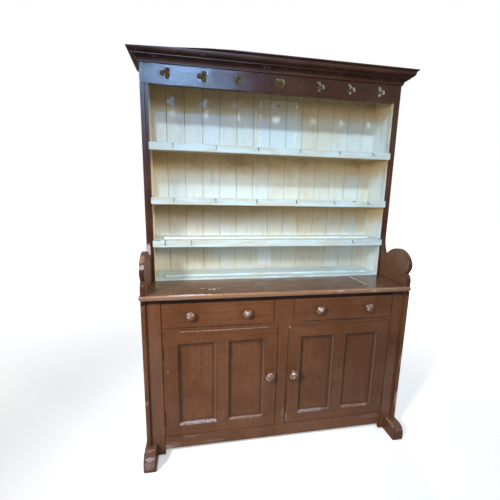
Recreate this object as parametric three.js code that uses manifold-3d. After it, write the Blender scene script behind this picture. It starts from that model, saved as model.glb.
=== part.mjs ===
// A Welsh dresser: a cupboard base with two drawers and two panelled doors, and a plate rack on its worktop.
// Lengths are in millimetres. X runs along the dresser, Y runs into the wall and Z runs up.

import * as THREE from 'three';
import { RoundedBoxGeometry } from 'three/addons/geometries/RoundedBoxGeometry.js';
import { mergeVertices } from 'three/addons/utils/BufferGeometryUtils.js';
import Module from 'manifold-3d';

const wasm = await Module();
wasm.setup();

// Clearances, edges and cuts
const fitGap = 0.3; // between pieces that are joined or seated
const doorGap = 2; // round a door in its opening
const drawerGap = 2; // beside and above a drawer in its opening
const arris = 1.2; // the softened edge of a board
const overrun = 4; // how far a cut passes the face that it opens

// Base carcass
const baseWidth = 1384;
const baseDepth = 470;
const sideThickness = 20;
const backThickness = 12;
const faceSetback = 13; // from the front edges of the sides to the face frame
const faceThickness = 22;
const worktopHeight = 881;
const worktopThickness = 28;
const worktopEndOverhang = 8;
const worktopFrontOverhang = 2.5;
const worktopNosing = 11;

// Face frame
const stileWidth = 68;
const stileEndHeight = 18; // the stile's foot end, above the floor
const topRailHeight = 17;
const topRailSetback = 6;
const drawerOpeningHeight = 123;
const drawerRailHeight = 20;
const dividerWidth = 103;
const centreStileWidth = 53;
const bottomRailHeight = 72;
const bottomRailClearance = 50; // above the floor

// Sledge feet
const footWidth = 60;
const footProud = 9; // outside the side board
const footHeight = 87;
const footArris = 4; // the worn edge of a foot
const footToeReach = 74; // in front of the side board
const footInstep = 23; // where the top begins to fall, in front of the side board
const footToeHeight = 34; // height of the upright part of the toe
const footHeelRadius = 16; // where the toe rounds to the floor

// Cupboard
const floorThickness = 18;
const floorDrop = 2; // the cupboard floor lies this much under the bottom rail's top
const cupboardShelfThickness = 18;
const cupboardShelfSetback = 40; // behind the doors

// Drawers
const drawerFrontThickness = 20;
const drawerBoardThickness = 12;
const drawerBottomThickness = 8;
const drawerBottomRaise = 8;
const drawerSideHeight = 108;
const drawerBackClearance = 26;
const runnerTreadHeight = 20;
const runnerTreadWidth = 22; // under each drawer side
const runnerGuideHeight = 18;
const drawerKnobInset = 137; // from the end of the drawer front to the knob

// Doors
const doorLeftStile = 70;
const doorRightStile = 63;
const doorMuntin = 60;
const doorTopRail = 63;
const doorBottomRail = 53;
const panelThickness = 6;
const panelSetback = 13; // from the door's face to the panel's face
const panelTongue = 6; // the panel's edge in its groove
const mouldingWidth = 15;
const mouldingSetback = 2; // from the door's face to the moulding
const mouldingFillet = 2;
const mouldingBendShare = 0.7; // how full the two halves of its ogee are
const doorKnobInset = 36; // from the closing edge to the knob
const doorKnobHeight = 421;

// Hinges
const hingeLength = 76;
const hingeInset = 105; // from the end of the door to the middle of the hinge
const hingeLeafWidth = 20; // behind the door's face
const hingeLeafThickness = 2;
const hingeLeafSplit = 0.4; // between the closed leaves
const knuckleRadius = 3.5;
const hingePinRadius = 1.6;
const knuckleStandoff = 0.5; // from the door's face to the knuckle

// Knobs: radii, and heights above the wood
const drawerKnob = {
  collar: 14,
  collarHeight: 4,
  neck: 10,
  rim: 23,
  rimHeight: 16,
  face: 16,
  faceHeight: 25,
  crown: 9,
  height: 34,
};
const doorKnob = {
  collar: 16,
  collarHeight: 5,
  neck: 11.5,
  rim: 26,
  rimHeight: 19,
  face: 18,
  faceHeight: 29,
  crown: 10,
  height: 39,
};
const knobQuirk = 1; // the step between rim and face

// Plate rack, with heights above the worktop
const rackDepth = 219;
const rackSideThickness = 22;
const rackHeight = 1139;
const rackTopThickness = 12;
const stripWidth = 16;
const stripDepth = 20;
const shelfThickness = 18;
const shelfHeights = { lower: 223, middle: 447, upper: 715 };
const shelfEdgeHeight = 37;
const shelfEdgeThickness = 12;
const shelfEdgeLap = 5; // over each inner strip
const shelfEdgeRadius = 6;
const beadRadius = 1.4;
const beadDrop = 9; // from the shelf edge's top to its scribed line
const baseBoardThickness = 10;
const battenWidth = 12;
const battenHeight = 10;
const battenSetback = 60; // behind the rack's front
const battenEndGap = 48;

// Matchboarding of both backs
const boardPitch = 98.8;
const boardOffset = 5; // of the middle joint from the centre line
const jointWidth = 5;
const jointDepth = 3;

// Ears at the foot of the rack sides
const earSetback = 3.5; // behind the worktop's front edge
const earSweepHeight = 241;
const earNotchHeight = 128;
const earNotchReach = 40;
const earCrownHeight = 190;
const earCrownReach = 152;
const earFullestHeight = 110;
const earWaistHeight = 66;
const earWaistDepth = 21;
const earToeHeight = 30;
const earCurveShares = {
  toe: 0.6,
  waist: 0.45,
  underLobe: 0.6,
  front: 0.5,
  crown: 0.5,
  back: 0.5,
  notch: 0.14,
  sweep: 0.33,
};

// Frieze and its piercings
const friezeThickness = 22;
const friezeBottom = 982;
const piercingRise = 51; // from the bottom of the frieze to the middle of a trefoil
const innerTrefoilPlace = 218; // from the heart in the middle
const outerTrefoilInset = 123; // from the end of the frieze
const lobeRadius = 12.8;
const lobeReach = 15;
const lobeEyeRadius = 8.5;
const heartDrop = 5; // the middle of the heart, under those of the trefoils
const heartWidth = 51;
const heartHeight = 52;
const heartDip = 8;
const heartShares = [[0.62, -0.66], [1, -0.1], [0.15, 1.25]]; // where flank, turn and crest bend
const heartWidestShare = 0.45;

// Cornice: sizes go outwards from the frieze and upwards from the bottom of the cornice
const corniceHeight = 65;
const corniceProjection = 59;
const bedOut = 6;
const bedHeight = 3;
const coveOut = 20;
const coveHeight = 26;
const coveShares = { out: 0.25, up: 0.7 };
const filletOut = 30;
const filletHeight = 31.5;
const quirk = 3;
const ovoloOut = 49;
const ovoloHeight = 55;
const lipHeight = 4; // the upright edge over the sloping underside of the top
const topFall = 18; // how far the top has been cut down at its left end
const topFallLength = 500; // from that end

// Number of straight pieces in a curve and of sides in a round piece
const curveSteps = 10;
const smallCurveSteps = 4;
const knobFacets = 20;
const lobeFacets = 16;
const wireFacets = 12;

// Planes that the sizes above give, outwards from the middle, forwards from the back and upwards
const sideInner = baseWidth / 2 - sideThickness;
const worktopDepth = baseDepth + worktopFrontOverhang;
const faceFront = baseDepth - faceSetback;
const faceBack = faceFront - faceThickness;
const openingOuter = sideInner - stileWidth;
const carcassTop = worktopHeight - worktopThickness;
const drawerTop = carcassTop - topRailHeight;
const drawerFloor = drawerTop - drawerOpeningHeight;
const doorTop = drawerFloor - drawerRailHeight;
const doorBottom = bottomRailClearance + bottomRailHeight;
const footInner = baseWidth / 2 + footProud - footWidth;
const footLength = baseDepth + footToeReach;
const rackWidth = baseWidth;
const rackInner = rackWidth / 2 - rackSideThickness;
const stripInner = rackInner - stripWidth;
const rackTopBottom = rackHeight - rackTopThickness;
const corniceBottom = rackHeight - corniceHeight;
const earReach = worktopDepth - earSetback - rackDepth;
const hingeAxisX = openingOuter - doorGap / 2;
const hingeAxisForward = faceFront + knuckleRadius + knuckleStandoff;
const doorUpright = [doorBottom + doorGap, doorTop - doorGap];

// Paint, bare wood and iron
const brownPaint = new THREE.MeshStandardMaterial({ color: 0x5c3527, roughness: 0.32, metalness: 0 });
const creamPaint = new THREE.MeshStandardMaterial({ color: 0xd9d6c4, roughness: 0.5, metalness: 0 });
const bareWood = new THREE.MeshStandardMaterial({ color: 0xa27a4c, roughness: 0.75, metalness: 0 });
const hingeIron = new THREE.MeshStandardMaterial({ color: 0x3a2a24, roughness: 0.5, metalness: 0.7 });

// Turns a closed geometry into a solid that can be joined and cut.
function solidOf(geometry) {
  const bare = geometry.clone();
  bare.deleteAttribute('normal');
  bare.deleteAttribute('uv');
  const merged = mergeVertices(bare);
  const vertProperties = merged.attributes.position.array;
  const triVerts = new Uint32Array(merged.index.array);
  return new wasm.Manifold(new wasm.Mesh({ numProp: 3, vertProperties, triVerts }));
}

function geometryOf(solid) {
  const mesh = solid.getMesh();
  const geometry = new THREE.BufferGeometry();
  geometry.setAttribute('position', new THREE.BufferAttribute(mesh.vertProperties, mesh.numProp));
  geometry.setIndex(new THREE.BufferAttribute(mesh.triVerts, 1));
  geometry.computeVertexNormals();
  return geometry;
}

// Joins geometries to the first one, then takes the cutters away.
function carve(body, cutters, additions = []) {
  const joined = additions.reduce((solid, addition) => solid.add(solidOf(addition)), solidOf(body));
  return geometryOf(cutters.reduce((solid, cutter) => solid.subtract(solidOf(cutter)), joined));
}

function piece(name, material, geometry, x = 0, forward = 0, z = 0) {
  const mesh = new THREE.Mesh(geometry, material);
  mesh.name = name;
  mesh.position.set(x, -forward, z);
  return mesh;
}

function groupOf(pieces) {
  const group = new THREE.Group();
  group.add(...pieces);
  return group;
}

const middle = ([low, high]) => (low + high) / 2;
const mix = THREE.MathUtils.lerp;
const span = ([low, high]) => high - low;
const centred = (width) => [-width / 2, width / 2];

// Puts a mirrored pair of limits in rising order.
const sided = (side, near, far) => (side > 0 ? [near, far] : [-far, -near]);

// A board with softened edges. It is cut fitGap short of the planes that bound it.
function board(name, material, across, forward, upright) {
  const size = [across, forward, upright].map((limits) => span(limits) - fitGap);
  const geometry = new RoundedBoxGeometry(...size, 1, arris);
  return piece(name, material, geometry, middle(across), middle(forward), middle(upright));
}

const grown = ([low, high], by) => [low - by, high + by];

function block(across, forward, upright) {
  const geometry = new THREE.BoxGeometry(span(across), span(forward), span(upright));
  return geometry.translate(middle(across), -middle(forward), middle(upright));
}

// The room that a board between these planes needs, with its clearance.
function roomFor(across, forward, upright) {
  return block(...[across, forward, upright].map((limits) => grown(limits, fitGap / 2)));
}

// A board cut to an outline, with softened edges, about the middle of its thickness.
function outlined(shape, thickness, curveSegments = curveSteps, edge = arris) {
  const geometry = new THREE.ExtrudeGeometry(shape, {
    depth: thickness - fitGap - edge * 2,
    bevelThickness: edge,
    bevelSize: edge,
    bevelOffset: -edge - fitGap / 2,
    bevelSegments: 1,
    curveSegments,
  });
  return geometry.translate(0, 0, -(thickness - fitGap) / 2 + edge);
}

// Turns an outline drawn across and upwards to stand, with its thickness from back to front.
const standing = (geometry) => geometry.rotateX(Math.PI / 2);

// Turns an outline drawn forwards and upwards to stand on edge, with its thickness across.
const endways = (geometry) => geometry.rotateX(Math.PI / 2).rotateZ(-Math.PI / 2);

const polygon = (points) => new THREE.Shape(points.map(([x, y]) => new THREE.Vector2(x, y)));

// Base: the two ends with their sledge feet
function sideBoard(name, side) {
  const across = sided(side, sideInner, baseWidth / 2);
  return board(name, brownPaint, across, [0, baseDepth], [footHeight, carcassTop]);
}

function footOutline() {
  const instep = baseDepth + footInstep;
  const shape = new THREE.Shape();
  shape.moveTo(0, 0);
  shape.lineTo(footLength - footHeelRadius, 0);
  shape.quadraticCurveTo(footLength, 0, footLength, footHeelRadius);
  shape.lineTo(footLength, footToeHeight);
  shape.quadraticCurveTo(footLength, footHeight, instep, footHeight);
  shape.lineTo(0, footHeight);
  return shape;
}

function foot(name, side) {
  const geometry = endways(outlined(footOutline(), footWidth, curveSteps, footArris));
  return piece(name, brownPaint, geometry, side * (footInner + footWidth / 2));
}

// Base: the face frame
function stile(name, side, hinges) {
  const outline = polygon([
    [side * openingOuter, stileEndHeight],
    [side * openingOuter, carcassTop],
    [side * sideInner, carcassTop],
    [side * sideInner, footHeight],
    [side * footInner, footHeight],
    [side * footInner, stileEndHeight],
  ]);
  const geometry = standing(outlined(outline, faceThickness)).translate(0, -middle([faceBack, faceFront]), 0);
  return piece(name, brownPaint, carve(geometry, hinges.map((hinge) => hinge.frameMortise)));
}

function faceFrame(leftHinges, rightHinges) {
  const depth = [faceBack, faceFront];
  const acrossOpening = [-openingOuter, openingOuter];
  const topRailDepth = [faceBack, faceFront - topRailSetback];
  const bottomRail = [bottomRailClearance, doorBottom];
  return [
    stile('stile_left', -1, leftHinges),
    stile('stile_right', 1, rightHinges),
    board('top_rail', brownPaint, acrossOpening, topRailDepth, [drawerTop, carcassTop]),
    board('drawer_rail', brownPaint, acrossOpening, depth, [doorTop, drawerFloor]),
    board('drawer_divider', brownPaint, centred(dividerWidth), depth, [drawerFloor, drawerTop]),
    board('centre_stile', brownPaint, centred(centreStileWidth), depth, [doorBottom, doorTop]),
    board('bottom_rail', brownPaint, acrossOpening, depth, bottomRail),
  ];
}

// Upright boards in one sheet, with a V joint between each two, cut into the front.
function matchboarding(name, material, width, low, high) {
  const half = (width - fitGap) / 2;
  const front = -backThickness + fitGap / 2;
  const outline = [[-half, -fitGap / 2], [-half, front]];
  const first = Math.ceil((jointWidth - half - boardOffset) / boardPitch);
  const last = Math.floor((half - jointWidth - boardOffset) / boardPitch);
  for (let joint = first; joint <= last; joint += 1) {
    const x = boardOffset + joint * boardPitch;
    outline.push([x - jointWidth / 2, front], [x, front + jointDepth], [x + jointWidth / 2, front]);
  }
  outline.push([half, front], [half, -fitGap / 2]);
  const depth = high - low - fitGap;
  const geometry = new THREE.ExtrudeGeometry(polygon(outline), { depth, bevelEnabled: false });
  return piece(name, material, geometry, 0, 0, low + fitGap / 2);
}

// Base: floor, shelf, back, runners and worktop
function runner(name, across, guide) {
  const treadBottom = drawerFloor - runnerTreadHeight;
  const guideTop = drawerFloor + runnerGuideHeight;
  const length = [backThickness, faceBack];
  const outline = [[across[0], treadBottom], [across[1], treadBottom]];
  if (guide[1] < across[1]) outline.push([across[1], drawerFloor], [guide[1], drawerFloor]);
  outline.push([guide[1], guideTop], [guide[0], guideTop]);
  if (guide[0] > across[0]) outline.push([guide[0], drawerFloor], [across[0], drawerFloor]);
  const geometry = standing(outlined(polygon(outline), span(length)));
  return piece(name, bareWood, geometry, 0, middle(length));
}

function runners() {
  const outerTread = openingOuter - runnerTreadWidth;
  const centreTread = dividerWidth / 2 + runnerTreadWidth;
  return [
    runner('runner_left', [-sideInner, -outerTread], [-sideInner, -openingOuter]),
    runner('runner_centre', [-centreTread, centreTread], [-dividerWidth / 2, dividerWidth / 2]),
    runner('runner_right', [outerTread, sideInner], [openingOuter, sideInner]),
  ];
}

function worktop() {
  const width = baseWidth + worktopEndOverhang * 2;
  const thickness = worktopThickness - fitGap;
  const slabDepth = worktopDepth + worktopNosing * 2;
  const slab = new RoundedBoxGeometry(width, slabDepth, thickness, 3, worktopNosing);
  slab.translate(0, slabDepth / 2 - worktopDepth, middle([carcassTop, worktopHeight]));
  const behind = [-worktopNosing * 2 - overrun, 0];
  const upright = grown([carcassTop, worktopHeight], overrun);
  const rearCut = roomFor(centred(width + overrun * 2), behind, upright);
  return piece('worktop', brownPaint, carve(slab, [rearCut]));
}

function carcass(leftHinges, rightHinges) {
  const across = [-sideInner, sideInner];
  const floorTop = doorBottom - floorDrop;
  const shelfMiddle = middle([floorTop, doorTop]);
  const shelfUpright = [shelfMiddle - cupboardShelfThickness, shelfMiddle];
  const shelfDepth = [backThickness, faceBack - cupboardShelfSetback];
  const floorUpright = [floorTop - floorThickness, floorTop];
  return groupOf([
    sideBoard('side_left', -1),
    sideBoard('side_right', 1),
    foot('foot_left', -1),
    foot('foot_right', 1),
    ...faceFrame(leftHinges, rightHinges),
    board('cupboard_floor', bareWood, across, [backThickness, faceBack], floorUpright),
    board('cupboard_shelf', bareWood, across, shelfDepth, shelfUpright),
    matchboarding('base_back', bareWood, sideInner * 2, footHeight, carcassTop),
    ...runners(),
    worktop(),
  ]);
}

// Turned knobs: the profile runs from the wood along the neck, round the rim and over the domed face.
function knob(name, size, x, z) {
  const profile = new THREE.Path();
  const neckHeight = middle([size.collarHeight, size.rimHeight]);
  profile.moveTo(0, 0);
  profile.lineTo(size.collar, 0);
  profile.lineTo(size.collar, size.collarHeight / 2);
  profile.quadraticCurveTo(size.neck, size.collarHeight, size.neck, neckHeight);
  profile.quadraticCurveTo(size.neck, size.rimHeight, size.rim, size.rimHeight);
  profile.quadraticCurveTo(size.rim, size.faceHeight, size.face, size.faceHeight);
  profile.lineTo(size.face, size.faceHeight + knobQuirk);
  profile.quadraticCurveTo(size.face, size.height, size.crown, size.height);
  profile.lineTo(0, size.height);
  const geometry = new THREE.LatheGeometry(profile.getPoints(smallCurveSteps), knobFacets);
  return piece(name, brownPaint, geometry.rotateX(Math.PI), x, faceFront + fitGap / 2, z);
}

// Drawers: the front, the box behind it and two knobs
function drawerBox(name, across, front) {
  const length = [backThickness + drawerBackClearance, front];
  const upright = [drawerFloor, drawerFloor + drawerSideHeight];
  const outer = board(name, bareWood, across, length, upright);
  const inside = [across[0] + drawerBoardThickness, across[1] - drawerBoardThickness];
  const insideLength = [length[0] + drawerBoardThickness, length[1] + overrun];
  const bottom = drawerFloor + drawerBottomRaise;
  const hollow = roomFor(inside, insideLength, [bottom + drawerBottomThickness, upright[1] + overrun]);
  const underside = roomFor(inside, insideLength, [drawerFloor - overrun, bottom]);
  outer.updateMatrix();
  const geometry = outer.geometry.applyMatrix4(outer.matrix);
  return piece(name, bareWood, carve(geometry, [hollow, underside]));
}

function drawer(name, side) {
  const across = sided(side, dividerWidth / 2 + drawerGap, openingOuter - drawerGap);
  const front = faceFront - drawerFrontThickness;
  const upright = [drawerFloor + fitGap, drawerTop - drawerGap];
  const knobHeight = middle(upright);
  return groupOf([
    board(`${name}_front`, brownPaint, across, [front, faceFront], upright),
    drawerBox(`${name}_box`, across, front),
    knob(`${name}_knob_left`, drawerKnob, across[0] + drawerKnobInset, knobHeight),
    knob(`${name}_knob_right`, drawerKnob, across[1] - drawerKnobInset, knobHeight),
  ]);
}

// The moulded edge of a panel: its outline goes inwards from the frame and backwards from the door's face.
function panelMoulding() {
  const [foot, crest] = [mouldingWidth - mouldingFillet, mouldingFillet];
  const [low, high] = [panelSetback - mouldingFillet, mouldingSetback + mouldingFillet / 2];
  const [waist, bend] = [middle([foot, crest]), mouldingBendShare];
  const path = new THREE.Path();
  path.moveTo(-mouldingFillet, mouldingSetback);
  path.lineTo(crest, mouldingSetback);
  path.lineTo(crest, high);
  path.quadraticCurveTo(mix(crest, waist, bend), high, waist, middle([low, high]));
  path.quadraticCurveTo(mix(foot, waist, bend), low, foot, low);
  path.lineTo(mouldingWidth, low);
  path.lineTo(mouldingWidth, panelSetback - fitGap / 2);
  path.lineTo(-mouldingFillet, panelSetback - fitGap / 2);
  return path.getPoints(smallCurveSteps);
}

// The moulding carried round a rectangle, mitred at its four corners.
function mouldedFrame(profile, across, upright) {
  const corners = [[0, 0], [1, 0], [1, 1], [0, 1]];
  const place = ([right, top], { x: inset, y: depth }) => [
    right ? across[1] - inset : across[0] + inset,
    -faceFront + depth,
    top ? upright[1] - inset : upright[0] + inset,
  ];
  const positions = corners.flatMap((corner) => profile.flatMap((point) => place(corner, point)));
  const indices = corners.flatMap((_, corner) => {
    const here = corner * profile.length;
    const there = ((corner + 1) % corners.length) * profile.length;
    return profile.flatMap((__, i) => {
      const next = (i + 1) % profile.length;
      return [here + i, there + i, there + next, here + i, there + next, here + next];
    });
  });
  const geometry = new THREE.BufferGeometry();
  geometry.setAttribute('position', new THREE.Float32BufferAttribute(positions, 3));
  geometry.setIndex(indices);
  return geometry;
}

// Doors: a moulded frame round two upright panels
function panelOpenings(across, upright) {
  const low = upright[0] + doorBottomRail;
  const high = upright[1] - doorTopRail;
  const left = across[0] + doorLeftStile;
  const right = across[1] - doorRightStile;
  const centre = middle([left, right]);
  return [
    { across: [left, centre - doorMuntin / 2], upright: [low, high] },
    { across: [centre + doorMuntin / 2, right], upright: [low, high] },
  ];
}

// The planes that bound a panel with its tongues.
function panelRoom(opening) {
  const front = faceFront - panelSetback;
  const depth = [front - panelThickness, front];
  return [grown(opening.across, panelTongue), depth, grown(opening.upright, panelTongue)];
}

function doorFrame(name, across, upright, openings, hinges) {
  const blank = polygon([
    [across[0], upright[0]],
    [across[1], upright[0]],
    [across[1], upright[1]],
    [across[0], upright[1]],
  ]);
  const slab = standing(outlined(blank, faceThickness)).translate(0, -middle([faceBack, faceFront]), 0);
  const through = grown([faceBack, faceFront], overrun);
  const opened = carve(slab, openings.map((o) => roomFor(o.across, through, o.upright)));
  const mouldings = openings.map((o) => mouldedFrame(panelMoulding(), o.across, o.upright));
  const grooves = openings.map((o) => roomFor(...panelRoom(o)));
  const mortises = hinges.map((hinge) => hinge.doorMortise);
  return piece(name, brownPaint, carve(opened, [...grooves, ...mortises], mouldings));
}

function doorPanel(name, opening) {
  return board(name, brownPaint, ...panelRoom(opening));
}

// Butt hinges: side is -1 for the left door and 1 for the right one
function pinCylinder(radius, low, high) {
  const cylinder = new THREE.CylinderGeometry(radius, radius, high - low, wireFacets).rotateX(Math.PI / 2);
  return cylinder.translate(0, 0, middle([low, high]));
}

// One leaf about its pin at the origin. Its plate reaches back beside the axis, towards the given direction.
function hingeLeaf(toward, knuckles) {
  const half = hingeLength / 2;
  const plateX = [hingeLeafSplit / 2, hingeLeafSplit / 2 + hingeLeafThickness];
  const across = toward > 0 ? plateX : [-plateX[1], -plateX[0]];
  const back = -(hingeLeafWidth + knuckleRadius + knuckleStandoff);
  const plateFront = -knuckleRadius - fitGap;
  const plate = block(across, [back, plateFront], [-half, half]);
  const barrels = knuckles.map(([low, high]) => pinCylinder(knuckleRadius, low, high));
  const tabs = knuckles.map((upright) => block(across, [plateFront - overrun, 0], upright));
  return { plate, barrels, tabs };
}

function hinge(name, side, z) {
  const half = hingeLength / 2;
  const innerHalf = half / 3;
  const outerKnuckles = [[-half, -innerHalf - fitGap / 2], [innerHalf + fitGap / 2, half]];
  const innerKnuckle = [[fitGap / 2 - innerHalf, innerHalf - fitGap / 2]];
  const frameLeaf = hingeLeaf(side, outerKnuckles);
  const doorLeaf = hingeLeaf(-side, innerKnuckle);
  const bore = pinCylinder(hingePinRadius + fitGap, -half - overrun, half + overrun);
  const pin = pinCylinder(hingePinRadius, -half, half);
  const frameGeometry = carve(frameLeaf.plate, [bore], [...frameLeaf.tabs, ...frameLeaf.barrels]);
  const doorGeometry = carve(doorLeaf.plate, [], [...doorLeaf.tabs, ...doorLeaf.barrels, pin]);
  const x = side * hingeAxisX;
  const axisToLeaf = hingeLeafSplit / 2 + hingeLeafThickness;
  const mortiseDepth = [faceFront - hingeLeafWidth, faceFront + overrun];
  const upright = [z - half, z + half];
  const mortise = (toward) => {
    const near = x + toward * doorGap / 2 - toward * overrun;
    const far = x + toward * axisToLeaf;
    return roomFor([Math.min(near, far), Math.max(near, far)], mortiseDepth, upright);
  };
  return {
    frameMortise: mortise(side),
    doorMortise: mortise(-side),
    framePiece: piece(`${name}_frame_leaf`, hingeIron, frameGeometry, x, hingeAxisForward, z),
    doorPiece: piece(`${name}_door_leaf`, hingeIron, doorGeometry, x, hingeAxisForward, z),
  };
}

function doorHinges(name, side) {
  return [
    hinge(`${name}_hinge_upper`, side, doorUpright[1] - hingeInset),
    hinge(`${name}_hinge_lower`, side, doorUpright[0] + hingeInset),
  ];
}

// A door group turns about its hinge pins.
function door(name, side, hinges) {
  const across = sided(side, centreStileWidth / 2 + doorGap, openingOuter - doorGap);
  const openings = panelOpenings(across, doorUpright);
  const knobX = side * (centreStileWidth / 2 + doorGap + doorKnobInset);
  const pieces = groupOf([
    doorFrame(`${name}_frame`, across, doorUpright, openings, hinges),
    doorPanel(`${name}_panel_left`, openings[0]),
    doorPanel(`${name}_panel_right`, openings[1]),
    knob(`${name}_knob`, doorKnob, knobX, doorKnobHeight),
    ...hinges.map((pair) => pair.doorPiece),
  ]);
  pieces.position.set(-side * hingeAxisX, hingeAxisForward, 0);
  const swing = groupOf([pieces]);
  swing.position.set(side * hingeAxisX, -hingeAxisForward, 0);
  return swing;
}

// Rack: the side boards with their shaped ears. The outline goes forwards from the back and upwards.
function rackSideOutline() {
  const shares = earCurveShares;
  const reach = rackDepth + earReach;
  const waist = reach - earWaistDepth;
  const crown = rackDepth + earCrownReach;
  const notch = rackDepth + earNotchReach;
  const underLobe = mix(earWaistHeight, earFullestHeight, shares.underLobe);
  const frontShoulder = mix(earFullestHeight, earCrownHeight, shares.front);
  const backShoulder = mix(earNotchHeight, earCrownHeight, shares.back);
  const shape = new THREE.Shape();
  shape.moveTo(0, 0);
  shape.lineTo(reach, 0);
  shape.lineTo(reach, earToeHeight);
  shape.quadraticCurveTo(reach, mix(earToeHeight, earWaistHeight, shares.toe), waist, earWaistHeight);
  shape.bezierCurveTo(
    mix(waist, reach, shares.waist),
    mix(earWaistHeight, underLobe, shares.waist),
    reach,
    underLobe,
    reach,
    earFullestHeight,
  );
  shape.bezierCurveTo(
    reach,
    frontShoulder,
    mix(crown, reach, shares.crown),
    earCrownHeight,
    crown,
    earCrownHeight,
  );
  shape.bezierCurveTo(
    mix(crown, notch, shares.crown),
    earCrownHeight,
    mix(notch, crown, shares.notch),
    backShoulder,
    notch,
    earNotchHeight,
  );
  const sweepBend = mix(earNotchHeight, earSweepHeight, shares.sweep);
  shape.quadraticCurveTo(rackDepth, sweepBend, rackDepth, earSweepHeight);
  shape.lineTo(rackDepth, friezeBottom);
  shape.lineTo(rackDepth - friezeThickness, friezeBottom);
  shape.lineTo(rackDepth - friezeThickness, rackTopBottom);
  shape.lineTo(0, rackTopBottom);
  return shape;
}

function rackSide(name, side) {
  const geometry = endways(outlined(rackSideOutline(), rackSideThickness));
  return piece(name, brownPaint, geometry, side * middle([rackInner, rackWidth / 2]));
}

function innerStrip(name, side) {
  const across = sided(side, stripInner, rackInner);
  return board(name, brownPaint, across, [rackDepth - stripDepth, rackDepth], [0, friezeBottom]);
}

// Rack: a shelf is notched round the inner strips, and may carry a plate batten
function rackShelf(name, material, upright, withBatten) {
  const front = -rackDepth;
  const notch = stripDepth - rackDepth;
  const outline = polygon([
    [-rackInner, -backThickness],
    [-rackInner, notch],
    [-stripInner, notch],
    [-stripInner, front],
    [stripInner, front],
    [stripInner, notch],
    [rackInner, notch],
    [rackInner, -backThickness],
  ]);
  const plank = outlined(outline, span(upright)).translate(0, 0, middle(upright));
  if (!withBatten) return piece(name, material, plank);
  const length = (stripInner - battenEndGap) * 2;
  const root = span(upright) / 2;
  const batten = new RoundedBoxGeometry(length, battenWidth, battenHeight + root, 2, battenWidth / 3);
  batten.translate(0, battenSetback - rackDepth, upright[1] + (battenHeight - root) / 2);
  return piece(name, material, carve(plank, [], [batten]));
}

function roundedRectangle(width, height, radius) {
  const [x, y] = [width / 2, height / 2];
  const shape = new THREE.Shape();
  shape.moveTo(radius - x, -y);
  shape.lineTo(x - radius, -y);
  shape.quadraticCurveTo(x, -y, x, radius - y);
  shape.lineTo(x, y - radius);
  shape.quadraticCurveTo(x, y, x - radius, y);
  shape.lineTo(radius - x, y);
  shape.quadraticCurveTo(-x, y, -x, y - radius);
  shape.lineTo(-x, radius - y);
  shape.quadraticCurveTo(-x, -y, radius - x, -y);
  return shape;
}

// The white strip on a shelf's front edge, with a scribed line under its top
function shelfEdge(name, top) {
  const length = (stripInner + shelfEdgeLap) * 2;
  const outline = roundedRectangle(length, shelfEdgeHeight, shelfEdgeRadius);
  const strip = standing(outlined(outline, shelfEdgeThickness, smallCurveSteps));
  const line = new THREE.CylinderGeometry(beadRadius, beadRadius, length + overrun, wireFacets);
  line.rotateZ(Math.PI / 2).translate(0, -shelfEdgeThickness / 2, shelfEdgeHeight / 2 - beadDrop);
  const forward = rackDepth + shelfEdgeThickness / 2;
  return piece(name, creamPaint, carve(strip, [line]), 0, forward, top - shelfEdgeHeight / 2);
}

function shelves() {
  return Object.entries(shelfHeights).flatMap(([place, top]) => [
    rackShelf(`shelf_${place}`, creamPaint, [top - shelfThickness, top], place === 'lower'),
    shelfEdge(`shelf_edge_${place}`, top),
  ]);
}

// Frieze: trefoils point away from the heart in the middle
function trefoilCutters(x, side) {
  const cutter = (radius, dx, dz) => {
    const drill = new THREE.CylinderGeometry(radius, radius, friezeThickness + overrun, lobeFacets);
    return drill.translate(x + dx, 0, dz);
  };
  const turns = [0, 1, 2].map((lobe) => (lobe * Math.PI * 2) / 3);
  const lobes = turns.map((turn) => {
    const reach = side * Math.cos(turn) * lobeReach;
    return cutter(lobeRadius, reach, Math.sin(turn) * lobeReach);
  });
  return [...lobes, cutter(lobeEyeRadius, 0, 0)];
}

function heartCutter() {
  const [half, rise] = [heartWidth / 2, heartHeight / 2];
  const shape = new THREE.Shape();
  shape.moveTo(0, -rise);
  const [flank, turn, crest] = heartShares.map(([out, up]) => [half * out, rise * up]);
  const widest = rise * heartWidestShare;
  shape.bezierCurveTo(-flank[0], flank[1], -half, turn[1], -half, widest);
  shape.bezierCurveTo(-half, crest[1], -crest[0], crest[1], 0, rise - heartDip);
  shape.bezierCurveTo(crest[0], crest[1], half, crest[1], half, widest);
  shape.bezierCurveTo(half, turn[1], flank[0], flank[1], 0, -rise);
  const depth = friezeThickness + overrun;
  const settings = { depth, bevelEnabled: false, curveSegments: curveSteps };
  const geometry = new THREE.ExtrudeGeometry(shape, settings);
  return standing(geometry.translate(0, 0, -depth / 2));
}

function frieze() {
  const upright = [friezeBottom, rackTopBottom];
  const size = [rackWidth, friezeThickness, span(upright)].map((length) => length - fitGap);
  const blank = new RoundedBoxGeometry(...size, 1, arris);
  const drop = friezeBottom + piercingRise - middle(upright);
  const limits = [innerTrefoilPlace, rackWidth / 2 - outerTrefoilInset];
  const places = [limits[0], middle(limits), limits[1]];
  const trefoils = places.flatMap((x) => [...trefoilCutters(-x, -1), ...trefoilCutters(x, 1)]);
  const heart = heartCutter().translate(0, 0, -heartDrop);
  const cutters = [heart, ...trefoils].map((cutter) => cutter.translate(0, 0, drop));
  const forward = rackDepth - friezeThickness / 2;
  return piece('frieze', brownPaint, carve(blank, cutters), 0, forward, middle(upright));
}

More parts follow.
